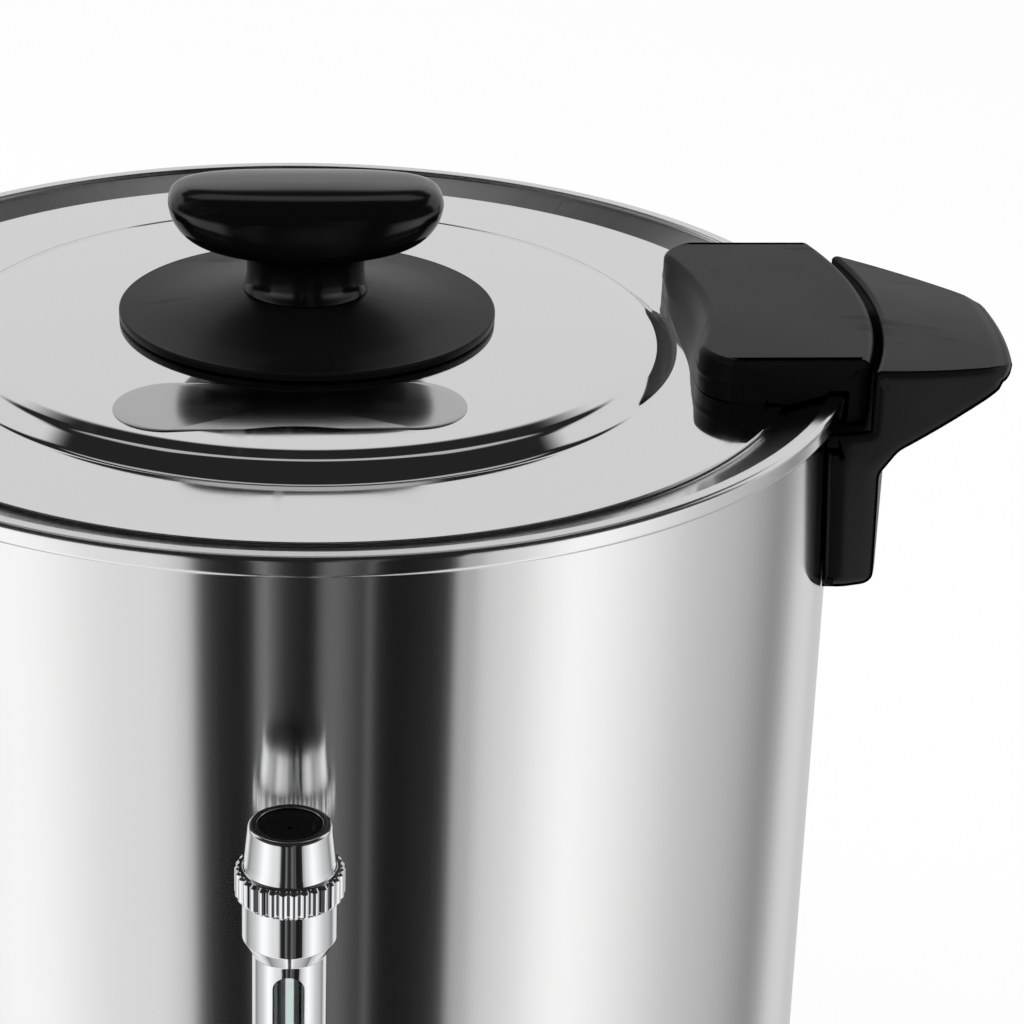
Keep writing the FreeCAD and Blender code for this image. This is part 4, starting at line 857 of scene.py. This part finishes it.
blade = slab(blade_plan, dish(-1), dish(1), edge=1.6, steps=5,
             fill=(0.9, 0.8, 0.65, 0.5, 0.35, 0.2, 0.1), place=lambda a, b, h: (a, TAP_Y - h, b))
hub_profile = rounded([(1.6, -5.0, 0.2), (5.5, -5.0, 0.5), (5.5, 5.0, 0.5), (1.6, 5.0, 0.2)])
lever = mesh_object("tap_paddle", [blade, turned(hub_profile, (TAP_Y, PIN_Z), 64, axis="x")])
fitted(lever, "lever", black_gloss, "black_gloss", "tap_lever")

# %% [markdown]
# ## The base
# A black ring carries the urn, hides the heater and holds the controls. Its skirt flares
# a little towards the table, which is what lets it slip out of the mould.

# %% Base ring and feet
FEET_R = 104.0                  # distance of the feet from the urn's axis
feet = {label: (FEET_R * math.cos(a), FEET_R * math.sin(a)) for label, a in zip(
    ("back_right", "back_left", "front_left", "front_right"), np.radians([45, 135, 225, 315]))}
ring_profile = rounded([
    (125.5, 9.2, 0.3), (128.5, 9.2, 1.6), (125.5, 68.0, 1.8), (122.5, 68.0, 0.3),
    (122.5, 59.9, 0.2), (117.4, 59.9, 0.2), (117.4, 56.9, 0.2), (122.5, 52.9, 1.0)])
boss_profile = rounded([(1.9, 9.2, 0.2), (5.5, 9.2, 0.3), (5.5, 31.2, 0.4), (1.9, 31.2, 0.2)])
base = mesh_object("base_skirt", [turned(dense(ring_profile, 9.0), steps=320)]
                   + [turned(boss_profile, at, 32) for at in feet.values()])
fitted(base, "urn", black_satin, "black_plastic", "base_ring")

foot_profile = rounded([
    (2.3, 4.5, 0.1), (4.2, 4.5, 0.1), (4.2, 0.0, 0.4), (7.0, 0.0, 0.2), (7.6, 0.5, 0.2),
    (8.4, 0.5, 0.2), (9.0, 0.0, 0.2), (10.9, 0.0, 0.9), (12.8, 7.9, 0.4), (2.3, 7.9, 0.1)])
for label, at in feet.items():
    foot = mesh_object(f"foot_pad_{label}", [turned(foot_profile, at, 64)])
    fitted(foot, "urn", rubber, "foot_rubber", f"foot_{label}")

# %% [markdown]
# ## Controls and inlet
# These are straight-sided mouldings whose solids already have the right openings, so
# their edges are only eased. The lamps get a domed lens on a small bezel.

# %% Panel, switch, lamps and inlet
fitted(eased("panel_face", "control_panel", width=0.9, segments=3), "urn",
       black_satin, "black_plastic", "control_panel")
fitted(eased("switch_frame", "switch_body", width=0.35), "urn",
       black_gloss, "black_plastic", "switch_body")
fitted(eased("switch_key", "switch_rocker", width=0.45, segments=3), "rocker",
       black_gloss, "black_gloss", "switch_rocker")

LAMP_R, LAMP_Z, BEZEL_Y = 3.9, 37.0, -136.5     # lens radius, height, front of its bezel
across = np.linspace(0, LAMP_R, 12)
lens_dome = np.column_stack([across, BEZEL_Y - 1.1 * np.sqrt(1 - (across / LAMP_R) ** 2)])
lamp_profile = np.concatenate([lens_dome, rounded([
    (LAMP_R, BEZEL_Y), (4.3, BEZEL_Y, 0.2), (5.3, -136.3, 0.3), (5.3, -134.6, 0.2),
    (LAMP_R, -134.6), (LAMP_R, -118.5), (0, -118.5)], closed=False)])
for x, label, colour, finish in ((14.0, "power", "red", lamp_red), (32.0, "ready", "green", lamp_green)):
    lamp = mesh_object(f"lens_{label}", [turned(lamp_profile, (x, LAMP_Z), 64, axis="y")])
    fitted(lamp, "urn", finish, f"lamp_{colour}", f"lamp_{label}")
fitted(eased("inlet_socket", "inlet_housing", width=0.5), "urn",
       black_satin, "black_plastic", "inlet_housing")

# %% [markdown]
# ## What stays as it was drawn
# Screws, washers, the heater and the valve's inner pieces keep their solids. Each gets
# the finish that such a piece has.

# %% Finishes for the remaining solids
finishes = {
    zinc: ("bottom_plate",), cast: ("heater_plate",), brass: ("tap_nut",), pin_brass: ("inlet_pins",),
    sheath: ("heating_element", "keep_warm_element"), bright_can: ("thermal_cutout", "thermostat"),
    seal_rubber: ("gauge_washer_bottom", "gauge_washer_top", "lid_seal", "tap_gasket_inner",
                  "tap_gasket_outer", "tap_seal"),
    screw_metal: ("centre_nut", "centre_stud", "foot_screws", "handle_screws", "handle_washers",
                  "inlet_screws", "knob_screw", "knob_washer", "lid_ear_screws", "tap_pin",
                  "tap_spring", "tap_stem")}
kept = {node: finish for finish, nodes in finishes.items() for node in nodes}
for node, finish in kept.items():
    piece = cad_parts[node]
    if not piece.material_slots:
        piece.data.materials.append(finish.material)
    for material_slot in piece.material_slots:
        material_slot.link = "OBJECT"
        material_slot.material = finish.material
shown = [n for n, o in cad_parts.items() if not o.hide_render]
print("solids shown as they are:", len(shown), "without a finish:", sorted(set(shown) - set(kept)))

# %% [markdown]
# ## The studio
# Polished steel shows the room, so the room is part of the look. The urn stands on a
# plain pale floor. For its polish there is also a surround, as a photographer would hang
# it: white cloths at both sides up to eye height and behind, dark ones in front where the
# camera stands, and a dark ceiling. Only reflections see the surround. Everything else is
# lit by an even world and one broad lamp.

# %% Floor and world
def seen_directly(tree):
    """1 for the rays of the camera, mirrors and glass, 0 for the rays that only light."""
    path = tree.nodes.new("ShaderNodeLightPath")
    camera_ray, glossy, through = (Socket(tree, path.outputs[f"Is {kind} Ray"])
                                   for kind in ("Camera", "Glossy", "Transmission"))
    return (camera_ray + glossy + through).math("MINIMUM", 1.0)


scene.view_settings.view_transform = "Standard"
FAR = 9000.0                    # the floor's edges are this far away, in millimetres
floor_corners = np.array([(-FAR, -FAR, 0), (FAR, -FAR, 0), (FAR, FAR, 0), (-FAR, FAR, 0)])
floor = mesh_object("floor", [(floor_corners, np.array([[0, 1, 2, 3]]))])
floor_paint = bpy.data.materials.new("pale floor")
floor_paint.use_nodes = True
tree = floor_paint.node_tree
matt = tree.nodes["Principled BSDF"]
matt.inputs["Base Color"].default_value = (0.94, 0.94, 0.94, 1)
matt.inputs["Roughness"].default_value = 0.8
matt.inputs["Specular IOR Level"].default_value = 0.0
glow = tree.nodes.new("ShaderNodeEmission")
mixed = tree.nodes.new("ShaderNodeMixShader")
tree.links.new((seen_directly(tree) * 0.6).out, mixed.inputs[0])
tree.links.new(matt.outputs[0], mixed.inputs[1])
tree.links.new(glow.outputs[0], mixed.inputs[2])
tree.links.new(mixed.outputs[0], tree.nodes["Material Output"].inputs["Surface"])
floor.data.materials.append(floor_paint)
floor.visible_glossy = False

world = bpy.data.worlds.new("even light")
scene.world = world
world.use_nodes = True
tree = world.node_tree
sky = tree.nodes["Background"]
sky.inputs["Color"].default_value = (1, 1, 1, 1)
tree.links.new((seen_directly(tree) * 0.05 + 0.95).out, sky.inputs["Strength"])

# %% Surround for the reflections
EYE, BALL_R = 300.0, 6000.0     # height of the surround's middle, and its radius
a = np.linspace(0, math.pi, 49)
ball = np.column_stack([BALL_R * np.sin(a), EYE - BALL_R * np.cos(a)])
surround = mesh_object("surround", [turned(ball, steps=96, closed=False)])
cloth = bpy.data.materials.new("surround cloths")
cloth.use_nodes = True
tree = cloth.node_tree
tree.nodes.remove(tree.nodes["Principled BSDF"])
glow = tree.nodes.new("ShaderNodeEmission")
tree.links.new(glow.outputs[0], tree.nodes["Material Output"].inputs["Surface"])
coords = tree.nodes.new("ShaderNodeTexCoord")
split = tree.nodes.new("ShaderNodeSeparateXYZ")
tree.links.new(coords.outputs["Object"], split.inputs[0])
x, y, z = (Socket(tree, o) for o in split.outputs)
azimuth = x.math("ARCTAN2", y * -1.0) * (180 / math.pi)
rise = (z - EYE * MM).math("ARCTAN2", (x * x + y * y).math("SQRT")) * (180 / math.pi)
off_front = azimuth.math("ABSOLUTE")

# above eye height it is dark in front and at the sides, and white behind
sides = off_front.step(92, 106, 0.04, 0.76)
front = azimuth.step(-28, -22) * azimuth.step(37, 31)
front_glow = azimuth.step(4, 9) * azimuth.step(20, 14) * 0.07 + 0.015
above = sides * (front * -1.0 + 1.0) + front_glow * front

# degrees to the right of the front, and how bright the cloths are there below eye height
cloths = [
    (-180, 0.7), (-150, 0.62), (-143, 0.76), (-134, 0.74), (-121, 0.27), (-110, 0.47),
    (-98, 0.6), (-86, 0.74), (-76, 0.95), (-67, 1.16), (-60, 1.16), (-54, 1.1), (-48, 1.0),
    (-43, 0.91), (-38, 0.86), (-29, 0.83), (-25.6, 0.74), (-22.6, 0.58), (-20.4, 0.08),
    (-17.3, 0.024), (-12.3, 0.013), (-9.9, 0.03), (-7.4, 0.24), (-5.0, 0.09), (-2.5, 0.032),
    (2.5, 0.012), (5.0, 0.14), (7.4, 0.15), (9.9, 0.1), (12.4, 0.05), (13.2, 0.05), (13.8, 0.2),
    (14.4, 0.05), (17.3, 0.014), (20, 0.011), (28.4, 0.018), (31.0, 0.03), (32.6, 0.5),
    (35.3, 0.45), (37.9, 0.67), (40.6, 0.74), (46, 0.845), (51.5, 1.02), (57, 1.14),
    (60.5, 1.14), (66, 1.08), (72, 0.98), (79, 0.86), (86, 0.73), (92, 0.65), (98, 0.6),
    (104, 0.545), (110, 0.47), (116, 0.36), (121, 0.27), (127, 0.39), (134, 0.74), (143, 0.76),
    (150, 0.62), (180, 0.7)]
FULL = 1.3                      # the brightness that the top of the curve stands for
table = tree.nodes.new("ShaderNodeFloatCurve")
curve = table.mapping.curves[0]
while len(curve.points) < len(cloths):
    curve.points.new(0.5, 0.5)
for point, (degrees, bright) in zip(curve.points, cloths):
    point.location = ((degrees + 180) / 360, bright / FULL)
    point.handle_type = "VECTOR"
table.mapping.update()
tree.links.new((azimuth / 360 + 0.5).out, table.inputs["Value"])
below = Socket(tree, table.outputs[0]) * FULL
upward = rise.step(0, 12)
level = above * upward + below * (upward * -1.0 + 1.0)

# a dark ceiling, with one pale strip in it high behind the urn for the lid's ledge
edge = off_front.step(30, 62, 30, 42) - off_front.step(118, 150, 0, 8)
ceiling = (rise - edge).step(0, 6)
strip = (rise - 51).step(0, 3) * (rise - 66).step(3, 0) * off_front.step(120, 140)
level = level * (ceiling * -1.0 + 1.0) + ceiling * 0.02 + strip * 0.5
tree.links.new(level.out, glow.inputs["Strength"])
cloth.cycles.emission_sampling = "NONE"
surround.data.materials.append(cloth)
for rays in ("camera", "diffuse", "transmission", "shadow", "volume_scatter"):
    setattr(surround, f"visible_{rays}", False)

# %% Lamp and camera
lamp_data = bpy.data.lights.new("broad lamp", "AREA")
lamp_data.energy = 14.0
lamp_data.shape = "RECTANGLE"
lamp_data.size, lamp_data.size_y = 2.4, 1.6
lamp = bpy.data.objects.new("broad lamp", lamp_data)
lamp.location = (-0.9, -0.6, 2.3)
lamp.rotation_euler = (Vector((0, 0, 0.2)) - lamp.location).to_track_quat("-Z", "Y").to_euler()
lamp.visible_glossy = False
lamp.visible_camera = False

camera_data = bpy.data.cameras.new("camera")
camera_data.lens = 114.54
camera_data.sensor_width = 36.0
camera = bpy.data.objects.new("camera", camera_data)
right = Vector((0.99888497, -0.03515016, 0.03151638))
up = Vector((-0.01447697, 0.40735344, 0.91315584))
ahead = Vector((0.04493588, 0.91259391, -0.40639036))
place = Matrix((right, up, -ahead)).transposed().to_4x4()
place.translation = (0.013915, -0.702693, 0.659843)
camera.matrix_world = place
for obj in (lamp, camera):
    scene.collection.objects.link(obj)
scene.camera = camera
